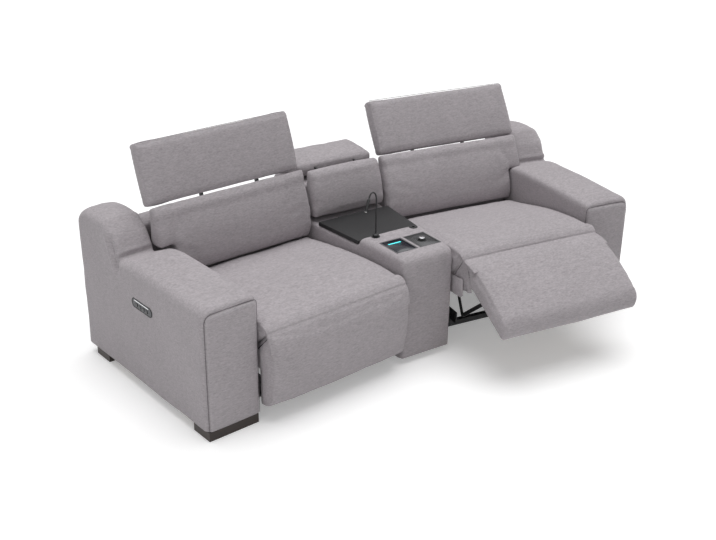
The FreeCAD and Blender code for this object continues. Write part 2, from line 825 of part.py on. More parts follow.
def footrest_crank(side):
    """A torque tube across the seat with two swinging arms and the pins at their ends."""
    pivot = (S.crank_pivot_v, S.crank_pivot_z)
    inner = S.seat_plate_place + S.plate + 1
    solids = [bar(side, inner, *pivot, S.seat_width - 2 * inner, S.crank_tube),
              rod(side, S.seat_plate_place, *pivot, S.seat_width - 2 * S.seat_plate_place, 12)]
    for u in both_plates(S.crank_place, S.plate):
        solids.append(link_plate(side, u, pivot, crank_end(), S.plate))
    pin_length = S.plate + 3
    near_pin = S.crank_place + S.plate
    for u in (near_pin, far_side(near_pin, pin_length)):
        solids.append(rod(side, u, *crank_end(), pin_length, S.link_pin_size))
    return solids[0].fuse(solids[1:]).removeSplitter()


def footrest_couplers(side):
    """The two bars from the crank's ends to the footrest board."""
    footrest_pin = (S.footrest_pin_v, S.footrest_pin_z)
    bars = []
    for u in both_plates(S.crank_place + S.plate + 2, S.plate):
        link = link_plate(side, u, crank_end(), footrest_pin, S.plate)
        near = rod(side, u - 1, *crank_end(), S.plate + 2, S.link_pin_size + 2 * S.pin_clearance)
        far = rod(side, u - 1, *footrest_pin, S.plate + 2, S.link_pin_size + 2 * S.open_pivot_clearance)
        bars.append(link.cut(near.fuse(far)))
    return Part.makeCompound(bars)


def footrest_board(side):
    """The plywood board behind the pad, with a lug and pin for each coupler."""
    front = S.pad_back + NEAR
    board = slab(side, 60, front, S.pad_bottom + 20, S.seat_width - 120, S.footrest_board_thickness, 222)
    solids = [board]
    lug_place = S.crank_place + 2 * S.plate + 3.5
    for u in both_plates(lug_place, S.plate):
        start = front + S.footrest_board_thickness - 1
        lug = slab(side, u, start, S.footrest_pin_z - 14, S.plate, S.footrest_pin_v + 12 - start, 28)
        solids.append(lug)
    pin_length = S.plate + 2.5
    pin_place = lug_place - pin_length
    for u in (pin_place, far_side(pin_place, pin_length)):
        solids.append(rod(side, u, S.footrest_pin_v, S.footrest_pin_z, pin_length, S.link_pin_size))
    return solids[0].fuse(solids[1:]).removeSplitter()


def drive_rail_middle():
    return S.slide_tube_z + S.tube / 2 + S.drive_rail_height / 2


def recline_motor(side):
    """The gear motor and its drive rail, lying on the slide frame's cross tubes."""
    middle = S.seat_width / 2
    front = S.slide_tube_front - 110
    rear = S.slide_tube_rear - 20
    low = drive_rail_middle() - S.drive_rail_height / 2
    rail = slab(side, middle - S.drive_rail_width / 2, front, low, S.drive_rail_width, rear + 10 - front,
                S.drive_rail_height)
    gearbox = slab(side, middle - 32, rear, low, 64, 46, 44)
    motor = Part.makeCylinder(23, 44, Vector(side * (middle + 6), rear + 23, low + 43), Z_AXIS)
    return rail.fuse([gearbox, motor]).removeSplitter()


def motor_shuttle(side):
    """The nut block that runs along the drive rail."""
    middle = S.seat_width / 2
    start = S.shuttle_place
    half = S.drive_rail_width / 2 + S.pin_clearance
    low = drive_rail_middle() - S.drive_rail_height / 2 - S.pin_clearance
    high = S.drive_rail_height + 2 * S.pin_clearance
    block_low = low + 4
    body = slab(side, middle - half - 7, start, block_low, 2 * half + 14, S.shuttle_length,
                S.drive_rail_height + 14)
    return body.cut(slab(side, middle - half, start - 1, low, 2 * half, S.shuttle_length + 2, high))


def back_frame(side):
    """Uprights and rails inside the shell, hinge lugs below and headrest posts above."""
    lug_place = S.seat_plate_place - S.plate - 1.5
    pivot = (S.back_pivot_v, S.back_pivot_z)
    lug_low = S.back_pivot_z - 14
    rail_v = S.back_rail_v
    upright_low = lug_low
    upright_high = S.shell_top - S.shell_wall - NEAR
    solids = []
    bores = []
    for u in both_plates(lug_place, S.plate):
        lug = slab(side, u, S.back_pivot_v, lug_low, S.plate, rail_v + S.back_rail - S.back_pivot_v, 28)
        eye = rod(side, u, *pivot, S.plate, 28)
        solids.append(lug.fuse(eye))
        bores.append(rod(side, u - 1, *pivot, S.plate + 2, S.back_pin_size + 2 * S.pin_clearance))
        upright = slab(side, u, rail_v, upright_low, S.plate, S.back_rail, upright_high - upright_low)
        solids.append(upright)
    inner = lug_place + 1
    for z in (S.shell_bottom + 20, upright_high - S.back_rail):
        rail = slab(side, inner, rail_v, z, S.seat_width - 2 * inner, S.back_rail, S.back_rail)
        solids.append(rail)
    for place in head_places(side):
        solids.append(head_post(side, place, head_pivot(), upright_high - S.back_rail, 24))
    frame = solids[0].fuse(solids[1:]).removeSplitter()
    return frame.cut(bores[0].fuse(bores[1:]))


def head_places(side):
    return (S.bracket_place, S.seat_width + S.back_inner - S.bracket_place)


def head_pivot():
    return (S.headrest_pivot_v, S.headrest_pivot_z)


def back_shell(side):
    form = cushion(side, S.back_inner, S.back_width, 6, 18, shell_profile)
    form = form.cut(shell_hollow(side))
    wing_place = S.seat_width - S.side_gap
    form = form.cut(slab(side, wing_place, 0, 0, S.back_width, S.armrest_end + S.wing_setback,
                         S.shell_top + S.pivot_rise))
    form = form.cut(slab(side, wing_place, 0, 0, S.back_width, S.shell_rear + 1, S.wing_low))
    for place in head_places(side):
        slot = slab(side, place - 14, S.headrest_pivot_v - 18, S.shell_top - S.shell_wall - 40, 30,
                    36, S.shell_wall + 60)
        form = form.cut(slot)
    return form


# Console

def console_half(y, inset=0):
    """Half the console's width at y, measured to its sides and drawn in by inset."""
    lean = math.radians(S.fan_angle)
    return S.console_front_width / 2 + y * math.tan(lean) - S.console_gap / math.cos(lean) - inset


def wedge(front, rear, low, high, inset):
    """A straight-sided wedge block of the console's plan."""
    def section(y):
        half = console_half(y, inset)
        return loop(sharp([(-half, low), (-half, high), (half, high), (half, low)]), y, "v")
    return loft([section(front), section(rear)])


def console_block_section(y, drop):
    half = console_half(y, 0.25 * drop)
    corner = 20
    top = S.console_top - drop
    return loop([
        (-half, S.arm_base, 0),
        (-half, top - corner, 6),
        (-half + corner, top, 0),
        (half - corner, top, 6),
        (half, top - corner, 0),
        (half, S.arm_base, 0),
    ], y, "v")


def insert_place(side):
    """The middle of one of the two square inserts in the console's top."""
    return Vector(side * (S.insert_width + S.insert_gap) / 2, S.insert_y, S.console_top)


def console_cover():
    front = S.console_front
    stations = [(front, 40), (front + 8, 18), (front + 22, 5), (front + 42, 0), (S.ledge_front, 0)]
    form = loft([console_block_section(y, drop) for y, drop in stations])
    form = form.fuse(wedge(S.ledge_front - 1, S.console_rear, S.arm_base, S.ledge_top, 0))
    form = form.cut(carcass_block())
    opening = Part.makeBox(2 * S.storage_half_width, S.storage_rear - S.storage_front, 60,
                           Vector(-S.storage_half_width, S.storage_front, S.ledge_top - 50))
    form = form.cut(opening)
    for side in (LEFT, RIGHT):
        middle = insert_place(side)
        corner = middle - Vector(S.insert_width / 2, S.insert_length / 2, S.insert_depth)
        form = form.cut(Part.makeBox(S.insert_width, S.insert_length, S.insert_depth + 20, corner))
    for x in (S.lamp_x, S.socket_x):
        form = form.cut(Part.makeCylinder(S.dock_size / 2, S.dock_depth + 20,
                                          Vector(x, S.dock_y, S.console_top - S.dock_depth)))
    return form


def carcass_block():
    return wedge(S.console_front + 35, S.console_rear - S.console_foam, S.carcass_base,
                 S.ledge_top - S.board, S.console_foam)


def console_carcass():
    """The glued plywood box: a front bay, the storage box under the lid and a rear bay."""
    board = S.board
    front = S.console_front + 35
    rear = S.console_rear - S.console_foam
    top = S.ledge_top - board
    inset = S.console_foam + board
    bays = [
        wedge(front + board, S.storage_front - board, S.carcass_base + board, top - board, inset),
        Part.makeBox(2 * S.storage_half_width, S.storage_rear - S.storage_front, top,
                     Vector(-S.storage_half_width, S.storage_front, S.storage_floor)),
        wedge(S.storage_rear + board, rear - board, S.carcass_base + board, top - board, inset),
    ]
    return carcass_block().cut(bays[0].fuse(bays[1:]))


def console_lid():
    """The black lid: a wedge plate with a finger tab in front and hinge knuckles behind."""
    body = doc.addObject("PartDesign::Body", "lid_blank")
    outline = new_sketch(body, "lid_outline", "XY_Plane")
    front_half = console_half(S.lid_front, S.lid_inset)
    rear_half = console_half(S.lid_rear, S.lid_inset)
    depth = S.lid_rear - S.lid_front
    draw_lines(outline, [(-front_half, 0), (front_half, 0), (rear_half, depth), (-rear_half, depth)])
    plate = pad(body, "lid_plate", outline, "sizes.lid_thickness")
    doc.recompute()
    top_edges = [f"Edge{number}" for number, edge in enumerate(body.Shape.Edges, start=1)
                 if edge.BoundBox.ZMin > S.lid_thickness - 0.01]
    rim = body.newObject("PartDesign::Chamfer", "lid_rim")
    rim.Base = (plate, top_edges)
    rim.Size = 2
    body.Placement = Placement(Vector(0, S.lid_front, S.ledge_top + NEAR), Rotation())
    doc.recompute()
    lid = body.Shape
    tab = Part.makeBox(60, 12, 5, Vector(-5, S.lid_front - 11, S.ledge_top + 38))
    stem = Part.makeBox(60, 4, 30, Vector(-5, S.lid_front - 1, S.ledge_top + 13))
    knuckle_length = S.hinge_length / 4
    for start in (-S.hinge_length / 2, S.hinge_length / 2 - knuckle_length):
        barrel = Part.makeCylinder(S.lid_pin_size, knuckle_length,
                                   Vector(start, S.lid_pin_y, S.lid_pin_z), X_AXIS)
        leaf = Part.makeBox(knuckle_length, S.lid_pin_y - S.lid_rear + 8, 4,
                            Vector(start, S.lid_rear - 8, S.lid_pin_z - 2))
        bore = Part.makeCylinder(S.lid_pin_size / 2 + S.pin_clearance, knuckle_length + 2,
                                 Vector(start - 1, S.lid_pin_y, S.lid_pin_z), X_AXIS)
        lid = lid.fuse(barrel.fuse(leaf)).cut(bore)
    return lid


def lid_hinge():
    """The hinge's fixed knuckle, its leaf on the ledge behind the lid and its pin."""
    middle = S.hinge_length / 2 - 2
    barrel = Part.makeCylinder(S.lid_pin_size, middle, Vector(-middle / 2, S.lid_pin_y, S.lid_pin_z), X_AXIS)
    pin = Part.makeCylinder(S.lid_pin_size / 2, S.hinge_length - 2,
                            Vector(1 - S.hinge_length / 2, S.lid_pin_y, S.lid_pin_z), X_AXIS)
    leaf = Part.makeBox(middle, 4, S.lid_pin_z - S.ledge_top, Vector(-middle / 2, S.lid_pin_y - 2, S.ledge_top))
    return barrel.fuse([pin, leaf]).removeSplitter()


def turned_prism(foot, radius, height, flats=36):
    """A round form of fine flats, as a knurled rim has."""
    corners = []
    for number in range(flats):
        angle = 2 * math.pi * number / flats
        corners.append(foot + Vector(radius * math.cos(angle), radius * math.sin(angle), 0))
    return Part.Face(Part.makePolygon(corners + corners[:1])).extrude(Vector(0, 0, height))


def accessory_docks():
    """Two round sockets in the console's top, one of them holding the lamp."""
    rings = []
    for x in (S.lamp_x, S.socket_x):
        foot = Vector(x, S.dock_y, S.console_top - S.dock_depth)
        cup = turned_prism(foot, S.dock_size / 2 - 0.2, S.dock_depth + 1.5)
        flange = turned_prism(Vector(x, S.dock_y, S.console_top + 1), S.dock_size / 2 + 3, 1.5)
        bore = Part.makeCylinder(S.dock_bore / 2 + S.pin_clearance, S.dock_depth,
                                 foot + Vector(0, 0, 6))
        rings.append(cup.fuse(flange).cut(bore))
    return Part.makeCompound(rings)


def insert_panel(name, side):
    """A square insert with a raised rim round its recessed face."""
    body = doc.addObject("PartDesign::Body", name)
    outline = new_sketch(body, f"{name}_outline", "XY_Plane")
    draw_rectangle(outline, "sizes.insert_width", "sizes.insert_length")
    pad(body, f"{name}_block", outline, "sizes.insert_depth + 1", back=True)
    face = new_sketch(body, f"{name}_face", "XY_Plane")
    draw_rectangle(face, "sizes.insert_width - 14", "sizes.insert_length - 14")
    pocket(body, f"{name}_recess", face, "2")
    finish(body, name, ORIGIN * Placement(insert_place(side) + Vector(0, 0, 1), Rotation()))


def dial_knob():
    """A low round knob standing on the right insert's face."""
    place = insert_place(RIGHT)
    foot = place + Vector(0, 0, -1 + NEAR)
    skirt = turned_prism(foot, S.knob_size / 2, 3)
    grip = turned_prism(foot + Vector(0, 0, 3), S.knob_size / 2 - 5, S.knob_height - 3)
    return skirt.fuse(grip)


def neck_ring(middle, lean):
    """The neck's outline at one place of its bend."""
    ring = []
    for turn in range(0, 360, 45):
        angle = math.radians(turn)
        across = S.lamp_neck / 2 * math.cos(angle)
        ring.append(middle + Vector(across * math.cos(lean), S.lamp_neck / 2 * math.sin(angle),
                                    -across * math.sin(lean)))
    return ring


def reading_lamp():
    """A lamp on a bent neck: plug, base, neck and a slim round head."""
    x, y = S.lamp_x, S.dock_y
    top = S.console_top + 2.5 + NEAR
    plug = Part.makeCylinder(S.dock_bore / 2, S.dock_depth - 6, Vector(x, y, S.console_top - S.dock_depth + 8))
    base = Part.makeCylinder(14, 10, Vector(x, y, top))
    straight = S.console_top + S.lamp_height
    route = [(Vector(x, y, top + 5), 0), (Vector(x, y, straight), 0)]
    for turn in range(30, 181, 30):
        angle = math.radians(turn)
        spot = Vector(x - S.lamp_bend * (1 - math.cos(angle)), y, straight + S.lamp_bend * math.sin(angle))
        route.append((spot, angle))
    neck = loft([neck_ring(spot, angle) for spot, angle in route])
    aim = Vector(-0.28, 0, -1).normalize()
    start = Vector(x - 2 * S.lamp_bend, y, straight + 3)
    head = Part.makeCylinder(S.lamp_head_size / 2, S.lamp_head_length, start, aim)
    return plug.fuse([base, neck, head])


def center_cushion_profile(inset):
    front = S.center_cushion_front
    rear = front + 95 - NEAR
    return [
        (front + 14 + 0.4 * inset, S.center_cushion_bottom, 6),
        (front + inset, S.center_cushion_bottom + 52, 6),
        (front + 34 + inset, S.center_cushion_top - 34 - inset, 9),
        (front + 80, S.center_cushion_top - inset, 0),
        (rear, S.center_cushion_top - 12 - inset, 0),
        (rear, S.center_cushion_bottom, 0),
    ]


def center_back_block():
    """The fixed upholstered block behind the centre cushion, under the folded headrest."""
    front = S.center_cushion_front + 95
    low = S.ledge_top + NEAR
    sections = []
    for y, drop in ((front, 6), (front + 10, 0), (S.console_rear - 20, 0), (S.console_rear, 14)):
        half = console_half(y, 2)
        top = S.shell_top - drop
        profile = [(-half, low, 0), (-half, top - 16, 5), (-half + 16, top, 0),
                   (half - 16, top, 5), (half, top - 16, 0), (half, low, 0)]
        sections.append(loop(profile, y, "v"))
    form = loft(sections)
    for place in center_places():
        slot = slab(RIGHT, place - 14, S.center_pivot_y - 18, S.shell_top - 70, 30, 36, 100)
        form = form.cut(slot)
    return form


def center_places():
    half_plate = S.bracket_plate / 2
    return (-S.center_bracket_place - half_plate, S.center_bracket_place - half_plate)


def center_posts():
    pivot = (S.center_pivot_y, S.center_pivot_z)
    return Part.makeCompound([head_post(RIGHT, place, pivot, S.shell_top - 70, 24)
                              for place in center_places()])


# Build the seat units

arm_frames = []
rails = []
for side, tag in SIDES:
    at = poses(side)
    fixed = at["fixed"]
    arm_frames.append(arm_frame(side))
    shape_piece(f"arm_cover_{tag}", arm_cover(side), fixed)
    arm_front_panel(side, tag)
    rail = base_rails(side)
    rail.Placement = fixed
    rails.append(rail)
    shape_piece(f"slide_frame_{tag}", slide_frame(side), at["slide"])
    shape_piece(f"recline_motor_{tag}", recline_motor(side), at["slide"])
    shape_piece(f"motor_shuttle_{tag}", motor_shuttle(side), at["shuttle"])
    shape_piece(f"seat_frame_{tag}", seat_frame(side), at["seat"])
    shape_piece(f"seat_webbing_{tag}", seat_webbing(side), at["seat"])
    width = S.seat_width - 2 * S.side_gap
    seat = cushion(side, S.side_gap, width, S.seat_crown, S.cushion_roll, seat_profile)
    shape_piece(f"seat_cushion_{tag}", seat, at["seat"])
    shape_piece(f"footrest_board_{tag}", footrest_board(side), at["footrest"])
    pad_form = cushion(side, S.side_gap, width, S.pad_crown, S.cushion_roll, footrest_profile)
    shape_piece(f"footrest_pad_{tag}", pad_form, at["footrest"])
    shape_piece(f"footrest_crank_{tag}", footrest_crank(side), at["crank"])
    shape_piece(f"footrest_couplers_{tag}", footrest_couplers(side), at["coupler"])
    shape_piece(f"back_frame_{tag}", back_frame(side), at["back"])
    shape_piece(f"back_shell_{tag}", back_shell(side).cut(back_frame(side)), at["back"])
    lumbar = cushion(side, S.back_inner, S.seat_width - S.back_inner - 2 * S.side_gap,
                     S.lumbar_crown, S.cushion_roll, lumbar_profile)
    shape_piece(f"lumbar_cushion_{tag}", lumbar, at["back"])
    places = head_places(side)
    head = (S.headrest_front, S.headrest_low, S.headrest_tilt, head_pivot())
    shape_piece(f"headrest_bracket_{tag}", head_bracket(side, places, *head, S.bracket_reach), at["back"])
    shape_piece(f"headrest_pad_{tag}",
                head_pad(side, S.headrest_inner, S.headrest_width, places, *head,
                         S.headrest_length, S.bracket_reach), at["back"])

    outer = S.seat_width + S.arm_width
    sunk = S.switch_depth - S.switch_proud
    housing = pill(side, outer - sunk, S.switch_depth, NEAR)
    first = S.switch_place_v - S.button_pitch * (S.button_count - 1) / 2
    button_z = S.switch_place_z - 5
    well = S.button_length - S.button_proud + 2
    for number in range(int(S.button_count)):
        v = first + number * S.button_pitch
        hole = bar(side, outer + S.switch_proud - well, v, button_z, well + 1,
                   S.button_size + 2 * S.button_gap)
        housing = housing.cut(hole)
        button = bar(side, outer + S.switch_proud + S.button_proud - S.button_length, v, button_z,
                     S.button_length, S.button_size)
        shape_piece(f"switch_button_{number + 1}_{tag}", button, fixed)
    shape_piece(f"switch_housing_{tag}", housing, fixed)

group("arm_frames", arm_frames, Placement())
shape_piece("base_rails", Part.makeCompound(rails), Placement())

# Feet: a dark block under each end of each arm, and two under the console
foot_blocks = []
foot_u = "sizes.seat_width + sizes.foot_inset"
foot_width = "sizes.arm_width - 2 * sizes.foot_inset"
rear_u = "sizes.seat_width + sizes.arm_width - sizes.shoulder_width + sizes.foot_inset"
rear_width = "sizes.shoulder_width - 2 * sizes.foot_inset"
rear_v = "sizes.arm_rear - sizes.rear_foot_setback - sizes.rear_foot_depth"
for side, tag in SIDES:
    front_foot = block(f"front_foot_{tag}", side, foot_u, "sizes.arm_front + sizes.foot_inset", "0",
                       foot_width, "sizes.front_foot_depth", "sizes.arm_base")
    rear_foot = block(f"rear_foot_{tag}", side, rear_u, rear_v, "0",
                      rear_width, "sizes.rear_foot_depth", "sizes.arm_base")
    pair = doc.addObject("Part::Compound", f"foot_pair_{tag}")
    pair.Links = [front_foot, rear_foot]
    pair.Placement = poses(side)["fixed"]
    foot_blocks.append(pair)
for name, y in (("front", "-sizes.console_foot_depth / 2"),
                ("rear", "sizes.console_rear - sizes.origin_setback - 2 * sizes.console_foot_depth")):
    foot_blocks.append(block(f"console_foot_{name}", RIGHT, "-sizes.console_foot_width / 2", y, "0",
                             "sizes.console_foot_width", "sizes.console_foot_depth", "sizes.arm_base"))
group("feet", foot_blocks, Placement())

# Build the console and the centre back
shape_piece("console_cover", console_cover(), ORIGIN)
shape_piece("console_carcass", console_carcass(), ORIGIN)
shape_piece("console_lid", console_lid(), ORIGIN)
shape_piece("accessory_docks", accessory_docks(), ORIGIN)
insert_panel("touch_panel", LEFT)
insert_panel("dial_panel", RIGHT)
shape_piece("dial_knob", dial_knob(), ORIGIN)
shape_piece("reading_lamp", reading_lamp(), ORIGIN)
shape_piece("center_back_cushion",
            cushion(RIGHT, -S.center_half_width, 2 * S.center_half_width, 14, S.cushion_roll,
                    center_cushion_profile), ORIGIN)
posts = center_posts()
shape_piece("console_hinge_posts", Part.makeCompound([lid_hinge(), posts]), ORIGIN)
shape_piece("center_back_block", center_back_block().cut(posts), ORIGIN)
head = (S.center_head_front, S.center_head_height, S.center_head_tilt,
        (S.center_pivot_y, S.center_pivot_z))
center_reach = S.center_head_length - 60
shape_piece("center_headrest_bracket",
            head_bracket(RIGHT, center_places(), *head, center_reach), ORIGIN)
shape_piece("center_headrest_pad",
            head_pad(RIGHT, -S.center_head_half_width, 2 * S.center_head_half_width, center_places(),
                     *head, S.center_head_length, center_reach), ORIGIN)

# Check and write
doc.recompute()
for item in doc.Objects:
    if "Invalid" in item.State or "Error" in item.State:
        raise SystemExit(f"{item.Label} did not build: {item.State}")
os.makedirs("parts", exist_ok=True)
for piece in pieces:
    shape = piece.Shape
    if shape.isNull() or not shape.isValid() or shape.Volume <= 0:
        raise SystemExit(f"{piece.Label} has no sound solid")
for piece in pieces:
    piece.Shape.exportStep(os.path.join("parts", piece.Label + ".step"))
print(len(pieces), "sub-parts written")
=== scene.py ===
import math

import bmesh
import bpy
import numpy as np
from mathutils import Matrix, Vector, noise


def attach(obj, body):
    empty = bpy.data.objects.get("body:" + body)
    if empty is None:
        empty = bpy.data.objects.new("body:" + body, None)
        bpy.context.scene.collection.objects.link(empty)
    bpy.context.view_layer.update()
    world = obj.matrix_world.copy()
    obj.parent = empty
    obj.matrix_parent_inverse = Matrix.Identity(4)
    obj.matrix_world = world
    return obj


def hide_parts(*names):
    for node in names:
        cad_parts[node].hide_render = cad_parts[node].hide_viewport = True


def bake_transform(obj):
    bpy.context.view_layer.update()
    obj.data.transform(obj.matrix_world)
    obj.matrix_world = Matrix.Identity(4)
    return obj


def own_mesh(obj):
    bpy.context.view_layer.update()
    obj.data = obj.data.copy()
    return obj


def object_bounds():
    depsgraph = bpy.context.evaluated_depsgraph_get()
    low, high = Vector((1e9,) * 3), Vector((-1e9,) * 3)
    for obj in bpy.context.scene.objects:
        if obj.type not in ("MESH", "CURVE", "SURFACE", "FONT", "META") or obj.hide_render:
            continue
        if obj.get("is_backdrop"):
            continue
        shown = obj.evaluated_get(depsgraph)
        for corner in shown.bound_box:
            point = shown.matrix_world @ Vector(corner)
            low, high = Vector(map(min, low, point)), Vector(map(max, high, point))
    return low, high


# A two-seat reclining sofa with a wedge console between its seats.
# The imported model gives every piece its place; this file gives each one its look.
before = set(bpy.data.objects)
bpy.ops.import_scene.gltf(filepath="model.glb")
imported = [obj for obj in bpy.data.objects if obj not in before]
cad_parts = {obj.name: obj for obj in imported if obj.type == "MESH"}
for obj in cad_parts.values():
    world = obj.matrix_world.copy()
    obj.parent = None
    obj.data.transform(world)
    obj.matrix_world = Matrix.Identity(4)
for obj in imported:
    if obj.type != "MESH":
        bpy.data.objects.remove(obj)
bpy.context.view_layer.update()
scene = bpy.context.scene

# Studio: a white floor and backdrop with one large soft light from the upper left, as in a
# catalogue photograph. The camera stands where the photograph's perspective puts it: to the
# left of the sofa's front, above head height.
yaw, pitch, roll = (math.radians(angle) for angle in (34.153, 24.883, 0.704))
ahead = Vector((math.sin(yaw) * math.cos(pitch), math.cos(yaw) * math.cos(pitch), -math.sin(pitch)))
level = Vector((math.cos(yaw), -math.sin(yaw), 0))
upright = level.cross(ahead)
right = level * math.cos(roll) + upright * math.sin(roll)
up = upright * math.cos(roll) - level * math.sin(roll)
camera_data = bpy.data.cameras.new("camera")
focal_pixels, photo_width = 1074.86, 716
camera_data.lens = focal_pixels / photo_width * camera_data.sensor_width
camera = bpy.data.objects.new("camera", camera_data)
eye = Vector((-2.657, -3.4524, 2.4203))
camera.matrix_world = Matrix((
    (right.x, up.x, -ahead.x, eye.x),
    (right.y, up.y, -ahead.y, eye.y),
    (right.z, up.z, -ahead.z, eye.z),
    (0, 0, 0, 1)))
camera_data.clip_end = 60
scene.collection.objects.link(camera)
scene.camera = camera
scene.view_settings.view_transform = "Standard"


def new_material(name):
    material = bpy.data.materials.new(name)
    material.use_nodes = True
    tree = material.node_tree
    return material, tree, tree.nodes["Principled BSDF"]


def set_inputs(node, values):
    for name, value in values.items():
        node.inputs[name].default_value = value


def in_scene(name, data):
    piece = bpy.data.objects.new(name, data)
    scene.collection.objects.link(piece)
    return piece


def seen_straight(tree):
    """1 for what the camera sees straight or in a gloss, 0 for light that falls on the sofa."""
    path = tree.nodes.new("ShaderNodeLightPath")
    seen = tree.nodes.new("ShaderNodeMath")
    seen.operation = "MAXIMUM"
    tree.links.new(path.outputs["Is Camera Ray"], seen.inputs[0])
    tree.links.new(path.outputs["Is Glossy Ray"], seen.inputs[1])
    return seen.outputs[0]


floor_material, tree, shader = new_material("studio_floor")
set_inputs(shader, {"Base Color": (0.86, 0.86, 0.86, 1), "Roughness": 0.9, "Specular IOR Level": 0.1})
lift = tree.nodes.new("ShaderNodeEmission")
glow = tree.nodes.new("ShaderNodeMath")
glow.operation = "MULTIPLY"
glow.inputs[1].default_value = 0.30
both = tree.nodes.new("ShaderNodeAddShader")
tree.links.new(seen_straight(tree), glow.inputs[0])
tree.links.new(glow.outputs[0], lift.inputs["Strength"])
tree.links.new(shader.outputs[0], both.inputs[0])
tree.links.new(lift.outputs[0], both.inputs[1])
tree.links.new(both.outputs[0], tree.nodes["Material Output"].inputs["Surface"])
floor_mesh = bpy.data.meshes.new("studio_floor")
floor_mesh.from_pydata([(-30, -30, 0), (30, -30, 0), (30, 30, 0), (-30, 30, 0)], [], [(0, 1, 2, 3)])
floor_mesh.materials.append(floor_material)
floor = in_scene("studio_floor", floor_mesh)
floor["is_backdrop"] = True

world = bpy.data.worlds.new("studio")
world.use_nodes = True
scene.world = world
tree = world.node_tree
background = tree.nodes["Background"]
strength = tree.nodes.new("ShaderNodeMapRange")
set_inputs(strength, {"To Min": 0.27, "To Max": 1.0})
tree.links.new(seen_straight(tree), strength.inputs["Value"])
tree.links.new(strength.outputs["Result"], background.inputs["Strength"])
set_inputs(background, {"Color": (1, 1, 1, 1)})

sky_data = bpy.data.lights.new("sky_panel", "SUN")
sky_data.energy = 2.15
sky_data.angle = math.radians(56)
sky = in_scene("sky_panel", sky_data)
sky.rotation_mode = "QUATERNION"
sky.rotation_quaternion = Vector((-0.10, -0.06, -1)).to_track_quat("-Z", "Y")
window_data = bpy.data.lights.new("side_panel", "AREA")
window_data.size = 2.6
window_data.energy = 13
window = in_scene("side_panel", window_data)
window.location = (-3.6, -2.4, 2.0)
window.rotation_mode = "QUATERNION"
window.rotation_quaternion = Vector((3.2, 2.4, -1.5)).to_track_quat("-Z", "Y")

# Arms: foam over a plywood box, in a taupe-grey woven cover. Each has a low flat rest in front and
# a raised, rounded shoulder behind it. All soft sections are in millimetres in the seat unit's
# own frame: u outwards from the console, v to the back, z up.
LEFT, RIGHT = -1, 1
SIDES = ((LEFT, "left"), (RIGHT, "right"))
FOOTREST_OPEN = {LEFT: 0, RIGHT: 56}
BACK_LAID = {LEFT: 0, RIGHT: 5.5}
FAN = 6.2
UNIT_START, UNIT_FRONT = 143, -60
SEAT_PIVOT, KNEE, BACK_HINGE = (500, 262), (-68, 426), (655, 284)
SEAT_TILT = 0.107


def turned(angle, v, z):
    """A turn about a line along the seat's width: the front goes up and the back goes down."""
    pivot = Matrix.Translation((0, v, z))
    return pivot @ Matrix.Rotation(math.radians(-angle), 4, "X") @ pivot.inverted()


def unit_place(side, part):
    """Where a moving part of a seat unit stands, from its own millimetres to the room's metres."""
    opened = FOOTREST_OPEN[side]
    fixed = (Matrix.Scale(0.001, 4) @ Matrix.Translation((side * UNIT_START, UNIT_FRONT, 0))
             @ Matrix.Rotation(math.radians(-side * FAN), 4, "Z"))
    if part == "fixed":
        return fixed
    seat = fixed @ Matrix.Translation((0, -opened, 0)) @ turned(opened * SEAT_TILT, *SEAT_PIVOT)
    if part == "footrest":
        return seat @ turned(opened, *KNEE)
    if part == "back":
        return seat @ turned(BACK_LAID[side], *BACK_HINGE)
    return seat


ROOM = Matrix.Scale(0.001, 4) @ Matrix.Translation((0, UNIT_FRONT, 0))


def section(corners, chords=6):
    """Points round a section: each corner is (across, z, bulge of the arc to the next corner)."""
    spots = []
    for (a, z, bulge), following in zip(corners, corners[1:] + corners[:1]):
        start, end = Vector((a, z)), Vector(following[:2])
        if not bulge:
            spots.append(start)
            continue
        chord = end - start
        left = Vector((-chord.y, chord.x)).normalized()
        radius = (chord.length_squared / 4 + bulge ** 2) / (2 * bulge)
        centre = (start + end) / 2 + left * (bulge - radius)
        first = math.atan2(start.y - centre.y, start.x - centre.x)
        sweep = -4 * math.atan(2 * bulge / chord.length)
        for step in range(chords):
            angle = first + sweep * step / chords
            spots.append(centre + Vector((math.cos(angle), math.sin(angle))) * abs(radius))
    return spots


def ring(side, spots, station, along="u"):
    if along == "u":
        return [Vector((side * station, spot.x, spot.y)) for spot in spots]
    return [Vector((side * spot.x, station, spot.y)) for spot in spots]


def finished(form, name):
    """The object of a mesh that is built up face by face, its faces turned outwards."""
    bmesh.ops.recalc_face_normals(form, faces=form.faces)
    mesh = bpy.data.meshes.new(name)
    form.to_mesh(mesh)
    form.free()
    return in_scene(name, mesh)


def closed_form(name, lofts):
    """One mesh of closed lofts; each loft is a list of rings of points, its two ends filled."""
    form = bmesh.new()
    for rings in lofts:
        placed = [[form.verts.new(spot) for spot in spots] for spots in rings]
        for before, after in zip(placed, placed[1:]):
            for here in range(len(before)):
                beside = (here + 1) % len(before)
                form.faces.new((before[here], before[beside], after[beside], after[here]))
        form.faces.new(placed[0][::-1])
        form.faces.new(placed[-1])
    return finished(form, name)


def shown_mesh(piece):
    """A plain mesh of the piece as its modifiers or its curve show it."""
    bpy.context.view_layer.update()
    graph = bpy.context.evaluated_depsgraph_get()
    return bpy.data.meshes.new_from_object(piece.evaluated_get(graph))


def settle(piece):
    """Turn the piece's modifiers into plain mesh."""
    mesh = shown_mesh(piece)
    piece.modifiers.clear()
    old = piece.data
    piece.data = mesh
    mesh.name = piece.name
    bpy.data.meshes.remove(old)


def spots_of(piece):
    spots = np.empty(len(piece.data.vertices) * 3)
    piece.data.vertices.foreach_get("co", spots)
    return spots.reshape(-1, 3)


def put_spots(piece, spots):
    piece.data.vertices.foreach_set("co", spots.ravel())
    piece.data.update()


